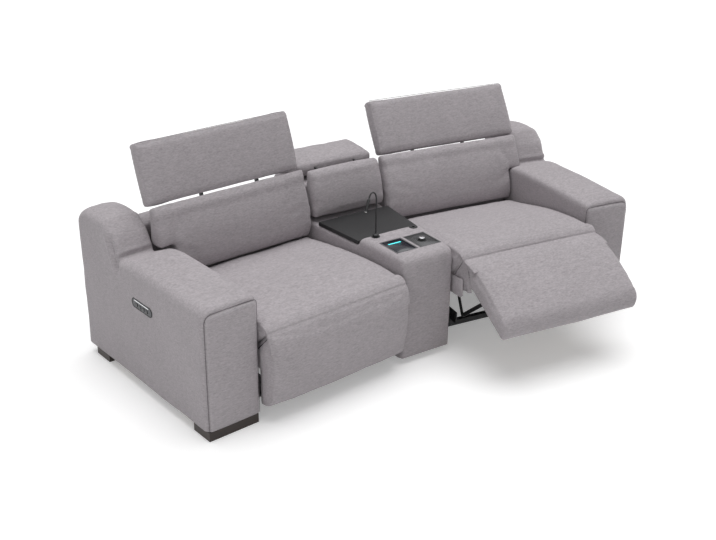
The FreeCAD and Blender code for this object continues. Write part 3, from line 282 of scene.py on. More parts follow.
def normals_of(piece):
    normals = np.empty(len(piece.data.vertices) * 3)
    piece.data.vertex_normals.foreach_get("vector", normals)
    return normals.reshape(-1, 3)


def even_skin(piece, grain, rounding):
    """An even mesh of small squares all over, with its edges rounded as foam rounds under fabric."""
    remesh = piece.modifiers.new("skin", "REMESH")
    remesh.mode = "VOXEL"
    remesh.voxel_size = grain
    settle(piece)
    smooth = piece.modifiers.new("round", "SMOOTH")
    smooth.factor = 0.5
    smooth.iterations = rounding
    settle(piece)


def crease(piece, start, end, width, depth, power=1.0):
    """Press a fold line into the skin between two points, with a soft ridge on each side of it."""
    spots, normals = spots_of(piece), normals_of(piece)
    start, end = np.array(start, float), np.array(end, float)
    along = end - start
    reach = np.clip(((spots - start) @ along) / (along @ along), 0, 1)
    away = np.linalg.norm(spots - (start + reach[:, None] * along), axis=1) / width
    fade = np.sin(np.pi * np.clip(reach, 0.001, 0.999)) ** power
    valley = np.exp(-away ** 2) - 0.35 * np.exp(-(away - 2.2) ** 2)
    put_spots(piece, spots - normals * (depth * fade * valley)[:, None])


def ripple(piece, height, size, seed):
    """Gentle unevenness of foam and fabric."""
    spots, normals = spots_of(piece), normals_of(piece)
    shift = Vector((seed * 17.3, seed * 5.1, seed * 9.7))
    lumps = np.array([noise.noise(Vector(spot) / size + shift) for spot in spots])
    put_spots(piece, spots + normals * (height * lumps)[:, None])


def upholster(piece, place, body, nodes, material):
    """Bring a finished soft piece to its place in the room and fix it to its body."""
    piece.data.transform(place)
    if place.determinant() < 0:
        piece.data.flip_normals()
    piece.data.materials.clear()
    piece.data.materials.append(material)
    piece.data.shade_smooth()
    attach(piece, body)
    if nodes:
        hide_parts(*nodes)
    return piece


def new_group(name, kind, takes, gives):
    """A node group with its sockets, each given as its name and kind."""
    group = bpy.data.node_groups.new(name, kind)
    for way, sockets in (("INPUT", takes), ("OUTPUT", gives)):
        for label, socket in sockets:
            group.interface.new_socket(label, in_out=way, socket_type="NodeSocket" + socket)
    return group, group.nodes.new("NodeGroupInput"), group.nodes.new("NodeGroupOutput")


def weave_group():
    """Woven upholstery: fine threads, slubs and slow changes of tone, as tone and height."""
    group, given, result = new_group("woven_upholstery", "ShaderNodeTree", [("Thread", "Float")],
                                     [("Tone", "Float"), ("Height", "Float")])
    nodes, links = group.nodes, group.links
    place = nodes.new("ShaderNodeTexCoord")

    def cloud(scale, detail, source=None):
        texture = nodes.new("ShaderNodeTexNoise")
        set_inputs(texture, {"Scale": scale, "Detail": detail})
        links.new(source or place.outputs["Object"], texture.inputs["Vector"])
        return texture.outputs["Fac"]

    def joined(operation, first, second):
        step = nodes.new("ShaderNodeMath")
        step.operation = operation
        for socket, value in zip(step.inputs, (first, second)):
            if isinstance(value, (int, float)):
                socket.default_value = value
            else:
                links.new(value, socket)
        return step.outputs[0]

    threads = nodes.new("ShaderNodeTexVoronoi")
    threads.feature = "SMOOTH_F1"
    set_inputs(threads, {"Smoothness": 0.4})
    links.new(place.outputs["Object"], threads.inputs["Vector"])
    links.new(given.outputs["Thread"], threads.inputs["Scale"])
    stretched = nodes.new("ShaderNodeMapping")
    set_inputs(stretched, {"Scale": (0.4, 0.7, 1.7)})
    links.new(place.outputs["Object"], stretched.inputs["Vector"])
    slub = cloud(210, 3, stretched.outputs["Vector"])
    mottle = cloud(85, 4, stretched.outputs["Vector"])
    drift = cloud(4.5, 2)
    tone = joined("ADD", joined("MULTIPLY", joined("SUBTRACT", slub, 0.5), 1.0),
                  joined("MULTIPLY", joined("SUBTRACT", mottle, 0.5), 0.55))
    tone = joined("ADD", tone, joined("MULTIPLY", joined("SUBTRACT", drift, 0.5), 0.18))
    tone = joined("ADD", tone, joined("MULTIPLY", threads.outputs["Distance"], -0.25))
    tone = joined("ADD", tone, 0.58)
    height = joined("ADD", joined("MULTIPLY", slub, 0.6),
                    joined("MULTIPLY", threads.outputs["Distance"], -0.7))
    links.new(tone, result.inputs["Tone"])
    links.new(height, result.inputs["Height"])
    return group


woven = weave_group()


def two_tone(tree, shader, factor, shade, light):
    """Colour a shader between two tones."""
    tones = tree.nodes.new("ShaderNodeMix")
    tones.data_type = "RGBA"
    set_inputs(tones, {"A": (*shade, 1), "B": (*light, 1)})
    tree.links.new(factor, tones.inputs["Factor"])
    tree.links.new(tones.outputs["Result"], shader.inputs["Base Color"])


def relief(tree, shader, height, strength, distance):
    """Raise fine relief on a shader's surface."""
    bumps = tree.nodes.new("ShaderNodeBump")
    set_inputs(bumps, {"Strength": strength, "Distance": distance})
    tree.links.new(height, bumps.inputs["Height"])
    tree.links.new(bumps.outputs["Normal"], shader.inputs["Normal"])


def fabric(name, shade, light, thread=700, bump=0.25, sheen=0.25):
    """A woven upholstery fabric between two tones."""
    material, tree, shader = new_material(name)
    weave = tree.nodes.new("ShaderNodeGroup")
    weave.node_tree = woven
    set_inputs(weave, {"Thread": thread})
    two_tone(tree, shader, weave.outputs["Tone"], shade, light)
    relief(tree, shader, weave.outputs["Height"], bump, 0.001)
    set_inputs(shader, {"Roughness": 0.92, "Specular IOR Level": 0.2, "Sheen Weight": sheen,
                        "Sheen Roughness": 0.5, "Sheen Tint": (0.9, 0.88, 0.9, 1)})
    return material


grey_fabric = fabric("grey_fabric", (0.29, 0.266, 0.279), (0.60, 0.558, 0.583))


def arm_form(side, tag):
    rest_stations = [(-3, 16), (0, 9), (5, 4), (13, 0), (60, -2), (285, -5), (530, -4), (575, 0),
                     (605, 6), (630, 16), (648, 32), (656, 52)]
    rest = []
    for v, drop in rest_stations:
        draw = max(0, drop) if v < 20 else 0
        rest.append(ring(side, section([
            (744 + draw, 42, 0), (744 + draw, 556 - drop, 6), (766, 579 - drop, 4), (962, 582 - drop, 12),
            (1002 - draw, 540 - drop, 0), (1002 - draw, 42, 0)]), v, "v"))
    shoulder = []
    for u, drop in ((818, 22), (821, 12), (830, 4), (850, -4), (900, -12), (955, -8), (980, 0),
                    (996, 12), (1003, 30)):
        shoulder.append(ring(side, section([
            (648, 42, 0), (650 + drop * 0.2, 575, 0), (690 + drop * 0.5, 648 - drop * 0.4, 2),
            (742 + drop * 0.4, 702 - drop, 4), (775, 708 - drop, 4), (925, 702 - drop, 14),
            (978 - drop * 0.2, 642 - drop * 0.5, 0), (978 - drop * 0.2, 42, 0)]), u))
    piece = closed_form(f"arm_{tag}", [rest, shoulder])
    even_skin(piece, 8, 5)
    # the tuck where the shoulder rises from the rest, down its outer side and along its foot
    crease(piece, (side * 824, 650, 578), (side * 1003, 650, 572), 8, 9, 0.15)
    crease(piece, (side * 1000, 705, 676), (side * 1001, 640, 512), 12, 17, 0.5)
    crease(piece, (side * 1002, 640, 552), (side * 1002, 560, 500), 16, 3, 1.0)
    crease(piece, (side * 960, 24, 584), (side * 770, 24, 582), 9, 2, 0.2)
    ripple(piece, 3.0, 150, 3 + side)
    ripple(piece, 1.0, 55, 13 + side)
    return piece


for side, tag in SIDES:
    arm = arm_form(side, tag)
    upholster(arm, unit_place(side, "fixed"), "frame", [f"arm_cover_{tag}"], grey_fabric)

# Arm front panels: flat boxed panels of foam and fabric, sewn round their edge to the arm's
# cover, with a thin twisted cord in the seam.
# The seam cord is coloured far darker than the cover; its dark colour is painted shade along the seam.
shaded_cord_fabric = fabric("seam_cord_painted_shade", (0.10, 0.092, 0.097), (0.22, 0.2, 0.21), 900, 0.2, 0.1)


def seam_tree():
    """A sewn cord along a path: an even round tube."""
    tree, given, result = new_group(
        "sewn_cord", "GeometryNodeTree",
        [("Path", "Geometry"), ("Thickness", "Float"), ("Fabric", "Material")], [("Cord", "Geometry")])
    nodes, links = tree.nodes, tree.links
    even = nodes.new("GeometryNodeResampleCurve")
    even.mode = "LENGTH"
    set_inputs(even, {"Length": 0.008})
    circle = nodes.new("GeometryNodeCurvePrimitiveCircle")
    set_inputs(circle, {"Resolution": 8})
    tube = nodes.new("GeometryNodeCurveToMesh")
    set_inputs(tube, {"Fill Caps": True})
    real = nodes.new("GeometryNodeRealizeInstances")
    paint = nodes.new("GeometryNodeSetMaterial")
    links.new(given.outputs["Path"], even.inputs["Curve"])
    links.new(given.outputs["Thickness"], circle.inputs["Radius"])
    links.new(even.outputs["Curve"], tube.inputs["Curve"])
    links.new(circle.outputs["Curve"], tube.inputs["Profile Curve"])
    links.new(tube.outputs["Mesh"], real.inputs["Geometry"])
    links.new(real.outputs["Geometry"], paint.inputs["Geometry"])
    links.new(given.outputs["Fabric"], paint.inputs["Material"])
    links.new(paint.outputs["Geometry"], result.inputs["Cord"])
    return tree


sewn_cord = seam_tree()


def curve_piece(name, curve, modify=None):
    """A plain mesh piece from a curve, which goes afterwards."""
    carrier = in_scene(name + "_path", curve)
    if modify:
        modify(carrier)
    mesh = shown_mesh(carrier)
    bpy.data.objects.remove(carrier)
    mesh.shade_smooth()
    return in_scene(name, mesh)


def sew(name, spots, place, body, thickness):
    """A seam cord through points of a piece's own frame, in millimetres."""
    curve = bpy.data.curves.new(name, "CURVE")
    curve.dimensions = "3D"
    line = curve.splines.new("POLY")
    line.points.add(len(spots) - 1)
    for point, spot in zip(line.points, spots):
        point.co = (*(place @ Vector(spot)), 1)

    def as_cord(carrier):
        modifier = carrier.modifiers.new("cord", "NODES")
        modifier.node_group = sewn_cord
        settings = {"Thickness": thickness, "Fabric": shaded_cord_fabric}
        for socket in sewn_cord.interface.items_tree:
            if socket.in_out == "INPUT" and socket.name in settings:
                modifier[socket.identifier] = settings[socket.name]

    cord = curve_piece(name, curve, as_cord)
    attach(cord, body)


for side, tag in SIDES:
    stations = []
    for v, inset in ((-12, 12), (-10, 6), (-6, 2), (0, 0), (20, 0), (24, 3)):
        low, high = 44 + inset * 0.6, 560 - inset
        inner, outer = 752 + inset, 990 - inset
        stations.append(ring(side, section([
            (inner, low, 0), (inner, high - 12, 3), (inner + 12, high, 2), (outer - 22, high - 3, 6),
            (outer, high - 30, 0), (outer, low, 0)]), v, "v"))
    panel = closed_form(f"arm_panel_{tag}", [stations])
    even_skin(panel, 6, 2)
    spots = spots_of(panel)
    middle = np.clip(1 - ((np.abs(spots[:, 0]) - 872) / 128) ** 2, 0, 1)
    tall = np.clip(1 - ((spots[:, 2] - 305) / 262) ** 2, 0, 1)
    spots[:, 1] -= np.where(spots[:, 1] < 0, 4.5 * middle * tall, 0)
    put_spots(panel, spots)
    ripple(panel, 1.6, 120, 8 + side)
    place = unit_place(side, "fixed")
    upholster(panel, place, "frame", [f"arm_front_panel_{tag}"], grey_fabric)
    edge = [(side * u, -3.2, z) for u, z in ((749.5, 46), (749, 300), (749.5, 548), (755, 558), (765, 561.5),
                                             (870, 562.5), (964, 560), (982, 550), (991, 530),
                                             (992, 300), (991.5, 46))]
    sew(f"arm_seam_{tag}", edge, place, "frame", 0.0011)

# Switches: black pill-shaped plates let into the arms' outer sides, with a bright strip on top
# and four small push buttons marked by nothing but their shape.
def moulded_group():
    """Moulded plastic or paint: a faint grain and slow change of gloss, as roughness and height."""
    group, given, result = new_group(
        "moulded_surface", "ShaderNodeTree",
        [("Grain", "Float"), ("Gloss Low", "Float"), ("Gloss High", "Float")],
        [("Roughness", "Float"), ("Height", "Float"), ("Tone", "Float")])
    nodes, links = group.nodes, group.links
    place = nodes.new("ShaderNodeTexCoord")
    grain = nodes.new("ShaderNodeTexNoise")
    set_inputs(grain, {"Detail": 3})
    slow = nodes.new("ShaderNodeTexNoise")
    set_inputs(slow, {"Scale": 9, "Detail": 4})
    gloss = nodes.new("ShaderNodeMapRange")
    links.new(place.outputs["Object"], grain.inputs["Vector"])
    links.new(place.outputs["Object"], slow.inputs["Vector"])
    links.new(given.outputs["Grain"], grain.inputs["Scale"])
    links.new(slow.outputs["Fac"], gloss.inputs["Value"])
    links.new(given.outputs["Gloss Low"], gloss.inputs["To Min"])
    links.new(given.outputs["Gloss High"], gloss.inputs["To Max"])
    links.new(gloss.outputs["Result"], result.inputs["Roughness"])
    links.new(grain.outputs["Fac"], result.inputs["Height"])
    links.new(slow.outputs["Fac"], result.inputs["Tone"])
    return group


moulded = moulded_group()


def hard(name, shade, light, metallic=0.0, rough=(0.35, 0.5), grain=900, bump=0.06):
    """A hard finish, such as paint, plastic or plated metal, between two tones."""
    material, tree, shader = new_material(name)
    surface = tree.nodes.new("ShaderNodeGroup")
    surface.node_tree = moulded
    set_inputs(surface, {"Grain": grain, "Gloss Low": rough[0], "Gloss High": rough[1]})
    two_tone(tree, shader, surface.outputs["Tone"], shade, light)
    relief(tree, shader, surface.outputs["Height"], bump, 0.0004)
    tree.links.new(surface.outputs["Roughness"], shader.inputs["Roughness"])
    set_inputs(shader, {"Metallic": metallic})
    return material


black_plastic = hard("black_plastic", (0.008, 0.008, 0.009), (0.018, 0.018, 0.02))
gloss_black = hard("gloss_black", (0.003, 0.004, 0.010), (0.006, 0.008, 0.02), rough=(0.12, 0.2),
                   bump=0.01)
bright_metal = hard("bright_metal", (0.62, 0.62, 0.64), (0.78, 0.78, 0.8), 1.0, (0.14, 0.26), 400, 0.03)
dark_plastic = hard("dark_plastic", (0.03, 0.03, 0.032), (0.05, 0.05, 0.053), 0.1, (0.3, 0.4))


def finish_node(node, material):
    """Give a model node its material; its shape stays as it is."""
    piece = bpy.data.objects[node]
    for slot in piece.material_slots:
        slot.link = "OBJECT"
        slot.material = material


PILL_MIDDLE, PILL_REACH = (452, 424), 59


def pill_ring(side, u, radius):
    v, z = PILL_MIDDLE
    spots = []
    for turn in range(32):
        angle = 2 * math.pi * turn / 32
        push = PILL_REACH if math.cos(angle) > 0 else -PILL_REACH
        spots.append(Vector((side * u, v + push + radius * math.cos(angle), z + radius * math.sin(angle))))
    return spots


def fitted(piece, place, material, body):
    """Bring a hard piece to its place in the room and fix it to its body."""
    piece.data.transform(place)
    piece.data.shade_smooth()
    piece.data.materials.append(material)
    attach(piece, body)


for side, tag in SIDES:
    place = unit_place(side, "fixed")
    plate = closed_form(f"switch_rim_{tag}", [[pill_ring(side, u, radius) for u, radius in (
        (1000.6, 22.5), (1003.6, 22.5), (1005, 21), (1005, 18.5), (1003.4, 18), (1000.6, 18))]])
    rim = bmesh.new()
    rim.from_mesh(plate.data)
    caps = [face for face in rim.faces if len(face.verts) > 4]
    bmesh.ops.delete(rim, geom=caps, context="FACES_ONLY")
    loops = [edge for edge in rim.edges if edge.is_boundary]
    bmesh.ops.bridge_loops(rim, edges=loops)
    bmesh.ops.recalc_face_normals(rim, faces=rim.faces)
    rim.to_mesh(plate.data)
    rim.free()
    fitted(plate, place, black_plastic, "frame")
    strip = closed_form(f"switch_strip_{tag}", [[
        [Vector((side * u, v, z)) for u, z in (
            (1004.2, 434.5), (1005.6, 435.2), (1006.2, 437.8), (1005.4, 440.2), (1004.2, 440.5))]
        for v in (395, 397, 450, 507, 509)]])
    fitted(strip, place, bright_metal, "frame")
    finish_node(f"switch_housing_{tag}", gloss_black)
    for number in range(1, 5):
        finish_node(f"switch_button_{number}_{tag}", dark_plastic)

# Feet: low blocks of dark stained hardwood under the arms' ends and the console. Their faces are
# plain and their grain runs along the sofa's width.
def wood(name, stretch, scale, detail, shade, light, roughness, bump=0):
    """Wood between two tones, its grain drawn out one way."""
    material, tree, shader = new_material(name)
    place = tree.nodes.new("ShaderNodeTexCoord")
    lie = tree.nodes.new("ShaderNodeMapping")
    grain = tree.nodes.new("ShaderNodeTexNoise")
    set_inputs(lie, {"Scale": stretch})
    set_inputs(grain, {"Scale": scale, "Detail": detail})
    tree.links.new(place.outputs["Object"], lie.inputs["Vector"])
    tree.links.new(lie.outputs["Vector"], grain.inputs["Vector"])
    two_tone(tree, shader, grain.outputs["Fac"], shade, light)
    if bump:
        relief(tree, shader, grain.outputs["Fac"], bump, 0.001)
    set_inputs(shader, {"Roughness": roughness})
    return material


dark_wood = wood("dark_wood", (6, 60, 60), 2.2, 6, (0.010, 0.006, 0.005), (0.034, 0.018, 0.013), 0.42, 0.15)
finish_node("feet", dark_wood)

# Seat cushions: high-density foam with a soft wrap, in a fitted cover that rolls over the
# front edge. They crown along the middle and draw in towards both sides.
PRESSURE, CLOTH_FRAMES = 3.0, 13
HALF_SEAT = 372


def plump(piece, cap):
    """Let the cover swell and settle as cloth does, each point moving no further than cap."""
    before = spots_of(piece)
    cloth = piece.modifiers.new("cover", "CLOTH")
    cloth.settings.quality = 4
    cloth.settings.mass = 0.3
    cloth.settings.tension_stiffness = 15
    cloth.settings.compression_stiffness = 12
    cloth.settings.shear_stiffness = 5
    cloth.settings.bending_stiffness = 0.6
    cloth.settings.use_pressure = True
    cloth.settings.uniform_pressure_force = PRESSURE
    cloth.settings.effector_weights.gravity = 0
    cloth.collision_settings.use_collision = False
    cloth.collision_settings.use_self_collision = False
    cloth.point_cache.frame_start = 1
    cloth.point_cache.frame_end = CLOTH_FRAMES
    for step in range(1, CLOTH_FRAMES + 1):
        scene.frame_set(step)
    graph = bpy.context.evaluated_depsgraph_get()
    mesh = piece.evaluated_get(graph).to_mesh()
    after = np.empty(len(mesh.vertices) * 3)
    mesh.vertices.foreach_get("co", after)
    after = after.reshape(-1, 3)
    piece.evaluated_get(graph).to_mesh_clear()
    piece.modifiers.clear()
    scene.frame_set(1)
    move = after - before
    far = np.linalg.norm(move, axis=1)
    share = np.minimum(1, cap / np.maximum(far, 1e-9))
    put_spots(piece, before + move * share[:, None])


def soft_block(name, side, start, width, crown, rolled, profile, grain=8, rounding=3, slim=4, extra=()):
    """A crowned cushion: its section draws in towards both ends by the crown and a rolled edge.
    It starts slim by some millimetres all round, because it swells afterwards."""
    start, width = start + slim, width - 2 * slim
    half = width / 2
    steps = [0, 0.15 * rolled, 0.4 * rolled, rolled, 2 * rolled, 0.25 * half, 0.5 * half, 0.75 * half]
    stations = [(step, start + step) for step in steps] + [(half, start + half)]
    stations += [(step, start + width - step) for step in reversed(steps)]
    rings = []
    for step, u in stations:
        inset = slim + crown * (1 - step / half) ** 2
        if step < rolled:
            inset += rolled - math.sqrt(rolled ** 2 - (rolled - step) ** 2)
        rings.append(ring(side, section(profile(inset)), u))
    piece = closed_form(name, [rings, *extra])
    even_skin(piece, grain, rounding)
    return piece


def seat_profile(inset):
    return [
        (-66 + 0.6 * inset, 428 - 0.1 * inset, 7), (-34 + 0.6 * inset, 457 - inset, 10),
        (319, 464 - inset, 4), (640, 422 - inset, 0), (640, 303 + inset, 0), (64, 303 + inset, 0)]


def cushion_skin(piece, cap):
    """Swell a piece that is in millimetres, because cloth works in metres."""
    piece.data.transform(Matrix.Scale(0.001, 4))
    plump(piece, cap)
    piece.data.transform(Matrix.Scale(1000, 4))


def press_folds(piece, side, folds):
    """Crease a piece along lines given as start, end, width and depth."""
    for (first_u, *start), (last_u, *end), width, depth in folds:
        crease(piece, (side * first_u, *start), (side * last_u, *end), width, depth)


SEAT_FOLDS = {
    LEFT: (((700, 60, 452), (420, 20, 462), 16, 3.0), ((640, -30, 452), (380, -20, 458), 12, 2.2),
           ((120, 20, 455), (300, 90, 463), 14, 1.8), ((690, 250, 455), (560, 130, 460), 16, 2.0)),
    RIGHT: (((640, -40, 445), (520, 60, 460), 14, 2.4), ((700, 40, 450), (560, 120, 462), 16, 2.0),
            ((90, -30, 450), (200, 60, 460), 14, 1.8))}

for side, tag in SIDES:
    seat = soft_block(f"seat_{tag}", side, 3, 739, 4, 9, seat_profile)
    cushion_skin(seat, 0.005)
    press_folds(seat, side, SEAT_FOLDS[side])
    ripple(seat, 3.4, 190, 20 + side)
    ripple(seat, 0.9, 60, 30 + side)
    upholster(seat, unit_place(side, "seat"), f"seat_{tag}", [f"seat_cushion_{tag}"], grey_fabric)

# Footrest pads: thick foam pads on plywood boards. Closed, a pad hangs in front of the seat
# as its front; open, it carries the legs and its cover is drawn out longer. The seat's cover
# runs over the knee as a soft fold, and a pleated gusset closes each end of it.
LONGER = {LEFT: 10, RIGHT: 46}
PAD_FOLDS = (((60, -70, 395), (330, -95, 340), 13, 2.2), ((700, -70, 392), (500, -95, 330), 13, 2.4),
             ((400, -80, 400), (470, -98, 330), 12, 1.8), ((250, -98, 300), (560, -90, 150), 24, 2.4))


def pad_profile(longer):
    def profile(inset):
        return [
            (-22 + 0.3 * inset, 70 - longer + inset, 12), (-80 + inset, 132 - longer + 0.4 * inset, 8),
            (-99 + inset, 320, 8), (-71 + 0.5 * inset, 422 - 0.1 * inset, 0), (27 - inset, 328, 0),
            (27 - inset, 79 - longer + 0.3 * inset, 4)]

    return profile


for side, tag in SIDES:
    pad = soft_block(f"footrest_{tag}", side, 3, 739, 5, 9, pad_profile(LONGER[side]), 8, 2)
    cushion_skin(pad, 0.005)
    press_folds(pad, side, PAD_FOLDS)
    ripple(pad, 3.2, 170, 40 + side)
    ripple(pad, 0.9, 60, 44 + side)
    place = unit_place(side, "footrest")
    upholster(pad, place, f"footrest_{tag}", [f"footrest_pad_{tag}"], grey_fabric)
    if side == RIGHT:
        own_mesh(pad)


def knee_fold(side, tag):
    """The strip of cover that runs over the knee, from the seat's top to the pad's front."""
    opened = FOOTREST_OPEN[side]
    seat_spots = [(-14, 461.5), (-34, 457.5), (-50, 448), (-62, 434.5)]
    pad_spots = [(-74, 415), (-82, 396), (-91, 368), (-97, 340)]
    lean = turned(opened, *KNEE)
    line = [Vector((0, *spot)) for spot in seat_spots] + [Vector((0, -64.5, 426.5))]
    line += [lean @ Vector((0, *spot)) for spot in pad_spots]
    rings = []
    for u in (4, 8, 14, 24, 60, 150, 260, 372, 484, 594, 684, 720, 730, 736, 740):
        share = abs(u - HALF_SEAT) / 368
        inset = 5 * share ** 2 + (0 if share < 0.96 else (share - 0.96) * 200)
        outer, inner = [], []
        for number, spot in enumerate(line):
            ahead = line[min(number + 1, len(line) - 1)] - line[max(number - 1, 0)]
            out = Vector((0, ahead.z, -ahead.y)).normalized()
            if out.y > 0:
                out = -out
            ends = 0 if 0 < number < len(line) - 1 else 3
            outer.append(spot + out * (1.2 - inset - ends))
            inner.append(spot - out * (5 + inset))
        rings.append([Vector((side * u, spot.y, spot.z)) for spot in outer + inner[::-1]])
    piece = closed_form(f"knee_fold_{tag}", [rings])
    finer = piece.modifiers.new("finer", "SUBSURF")
    finer.subdivision_type = "SIMPLE"
    finer.levels = finer.render_levels = 3
    settle(piece)
    ripple(piece, 1.4, 70, 46 + side)
    place = unit_place(side, "seat")
    piece.data.transform(place)
    piece.data.materials.append(grey_fabric)
    piece.data.shade_smooth()
    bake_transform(piece)


for side, tag in SIDES:
    knee_fold(side, tag)


def knee_gusset(side, u, name):
    """The pleated fan of fabric at one end of the knee, between the seat and the footrest."""
    layers, deep, thin, apart = 9, 7, 1.6, 3.2
    opened = FOOTREST_OPEN[side]
    inwards = 1 if u < HALF_SEAT else -1
    form = bmesh.new()
    grid = []
    for rise in (0, thin):
        sheet = []
        for layer in range(layers):
            share = layer / (layers - 1)
            turn = turned(opened * share, *KNEE)
            row = []
            for step in range(deep):
                along = 8 + step * 24
                spot = Vector((0, *KNEE)) + Vector((0, 1, -1)).normalized() * along
                spot.y += (1 - share) * apart - share * apart
                spot.z += (1 - share) * apart - share * apart
                pleat = (-1) ** layer * min(4, 0.03 * along) + 0.02 * along
                spot = turn @ spot
                spot.x = side * (u + rise + pleat * inwards)
                row.append(form.verts.new(spot))
            sheet.append(row)
        grid.append(sheet)
    for sheet in grid:
        for row, following in zip(sheet, sheet[1:]):
            for step in range(deep - 1):
                form.faces.new((row[step], row[step + 1], following[step + 1], following[step]))
    rim = [(layer, 0) for layer in range(layers)] + [(layers - 1, step) for step in range(1, deep)]
    rim += [(layer, deep - 1) for layer in range(layers - 2, -1, -1)]
    rim += [(0, step) for step in range(deep - 2, 0, -1)]
    for (layer, step), (next_layer, next_step) in zip(rim, rim[1:] + rim[:1]):
        form.faces.new((grid[0][layer][step], grid[0][next_layer][next_step],
                        grid[1][next_layer][next_step], grid[1][layer][step]))
    piece = finished(form, name)
    place = unit_place(side, "seat")
    piece.data.transform(place)
    piece.data.materials.append(grey_fabric)
    piece.data.shade_smooth()
    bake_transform(piece)


def side_curtain(side, tag, u):
    """The seat cover's side, hanging below the cushion in front of the mechanism."""
    rings = []
    for v in range(-52, 261, 24):
        sway = 1.2 * math.sin(v * 0.09)
        low = 246 - 0.00035 * (v - 110) ** 2 + (18 if v < -40 else 0)
        rings.append([Vector((side * spot, v, z)) for spot, z in (
            (u + sway, 330), (u + 1.6 + sway, 330), (u + 2.6 - sway, low), (u + 1.0 - sway, low - 2),
            (u - sway, low))])
    piece = closed_form(f"seat_side_{tag}_{u}", [rings])
    upholster(piece, unit_place(side, "seat"), f"seat_{tag}", [], grey_fabric)


for side, tag in SIDES:
    for u in (5, 735):
        side_curtain(side, tag, u)
    knee_gusset(side, 12, f"knee_gusset_inner_{tag}")
    knee_gusset(side, 730, f"knee_gusset_outer_{tag}")

# Lumbar cushions: soft-topped back cushions that lean on the back's casing, their ends pulled
# in and their top edge rolled over.
def lumbar_profile(inset):
    return [
        (616 + 0.4 * inset, 424, 9), (590 + inset, 520, 9), (632 + inset, 694 - 0.3 * inset, 5),
        (658 + 0.4 * inset, 753 - 0.6 * inset, 1), (690 - 0.2 * inset, 742 - 0.6 * inset, 0),
        (690 - 0.2 * inset, 655, 0), (660, 424, 0)]


def lumbar_wing(side):
    """The end of the back cushion that reaches over the arm to its shoulder."""
    rings = []
    for u, inset in ((712, 4), (780, 5), (806, 6), (812, 9), (815, 14)):
        rings.append(ring(side, section([
            (606 + inset, 575 + 0.3 * inset, 4), (632 + inset, 694 - 0.3 * inset, 5),
            (658 + 0.4 * inset, 753 - 0.6 * inset, 1), (690 - 0.2 * inset, 742 - 0.6 * inset, 0),
            (690 - 0.2 * inset, 575 + 0.3 * inset, 0)]), u))
    return rings


LUMBAR_FOLDS = (((40, 600, 600), (160, 600, 560), 14, 2.0), ((740, 604, 575), (640, 600, 520), 14, 3.0),
                ((742, 612, 596), (700, 620, 690), 16, 2.2))
for side, tag in SIDES:
    lumbar = soft_block(f"lumbar_{tag}", side, 6, 736, 4, 12, lumbar_profile, 8, 2,
                        extra=[lumbar_wing(side)])
    cushion_skin(lumbar, 0.005)
    press_folds(lumbar, side, LUMBAR_FOLDS)
    ripple(lumbar, 2.6, 150, 50 + side)
    ripple(lumbar, 0.9, 60, 54 + side)
    upholster(lumbar, unit_place(side, "back"), f"back_{tag}", [f"lumbar_cushion_{tag}"], grey_fabric)

# Headrests: boxed pads on two folding steel brackets each. The boxing is pleated at the ends,
# and a cord seam runs along the front panel's top edge.
HEAD_STAND = (669, 749, 19)
HEAD_LENGTH, HEAD_THICK = 274, 66


def head_spot(along, deep, front, low, tilt):
    lean = math.radians(tilt)
    return (front + along * math.sin(lean) + deep * math.cos(lean),
            low + along * math.cos(lean) - deep * math.sin(lean))


def head_profile(front, low, tilt, length, thickness):
    def profile(inset):
        ends, face, corner = 0.35 * inset, 0.4 * inset, 11
        outline = [
            (corner + ends, face, 7), (length - corner - ends, face, 3),
            (length - ends, corner + face, 2),
            (length - ends, thickness - corner - face, 3), (length - corner - ends, thickness - face, 4),
            (corner + ends, thickness - face, 3), (ends, thickness - corner - face, 2),
            (ends, corner + face, 3)]
        return [(*head_spot(along, deep, front, low, tilt), bulge) for along, deep, bulge in outline]

    return profile


for side, tag in SIDES:
    profile = head_profile(*HEAD_STAND, HEAD_LENGTH, HEAD_THICK)
    head = soft_block(f"headrest_{tag}", side, 24, 794, 3, 7, profile, 7, 2, 3)
    cushion_skin(head, 0.004)
    for end_u in (24, 818):
        for share in (0.22, 0.42, 0.62, 0.8):
            low_end = head_spot(10, HEAD_THICK * share, *HEAD_STAND)
            high_end = head_spot(262, HEAD_THICK * share, *HEAD_STAND)
            crease(head, (side * end_u, *low_end), (side * end_u, *high_end), 6, 4.0, 0.3)
    ripple(head, 2.0, 170, 60 + side)
    place = unit_place(side, "back")
    top = [(side * u, *head_spot(273.5 - 0.4 * abs(u - 421) / 100, 7, *HEAD_STAND))
           for u in range(34, 811, 10)]
    # The headrest's seam cord takes the same dark colour, painted shade along the seam.
    sew(f"headrest_seam_{tag}", top, place, f"headrest_{tag}", 0.001)
    upholster(head, place, f"headrest_{tag}", [f"headrest_pad_{tag}"], grey_fabric)

# Back casings: fabric drawn over the back's steel frame, smooth at the rear, with a wing that
# reaches behind the arm.
def casing_profile(inset):
    return [
        (662, 312, 0), (680, 648 - inset, 4), (893 - 0.6 * inset, 643 - inset, 5),
        (904 - 0.6 * inset, 624 - inset, 6), (871 - 0.6 * inset, 162, 0),
        (836 - 0.6 * inset, 162, 0), (712, 312, 0)]


def casing_wing(side):
    rings = []
    for u, inset in ((700, 4), (780, 5), (800, 8), (808, 14)):
        rings.append(ring(side, section([
            (752, 326, 0), (752, 648 - inset, 4), (893 - 0.6 * inset, 643 - inset, 5),
            (904 - 0.6 * inset, 624 - inset, 4), (884 - 0.6 * inset, 326, 0)]), u))
    return rings


for side, tag in SIDES:
    casing = soft_block(f"casing_{tag}", side, 12, 724, 4, 14, casing_profile, 10, 4, 2, [casing_wing(side)])
    ripple(casing, 2.2, 170, 65 + side)
    upholster(casing, unit_place(side, "back"), f"back_{tag}", [f"back_shell_{tag}"], grey_fabric)

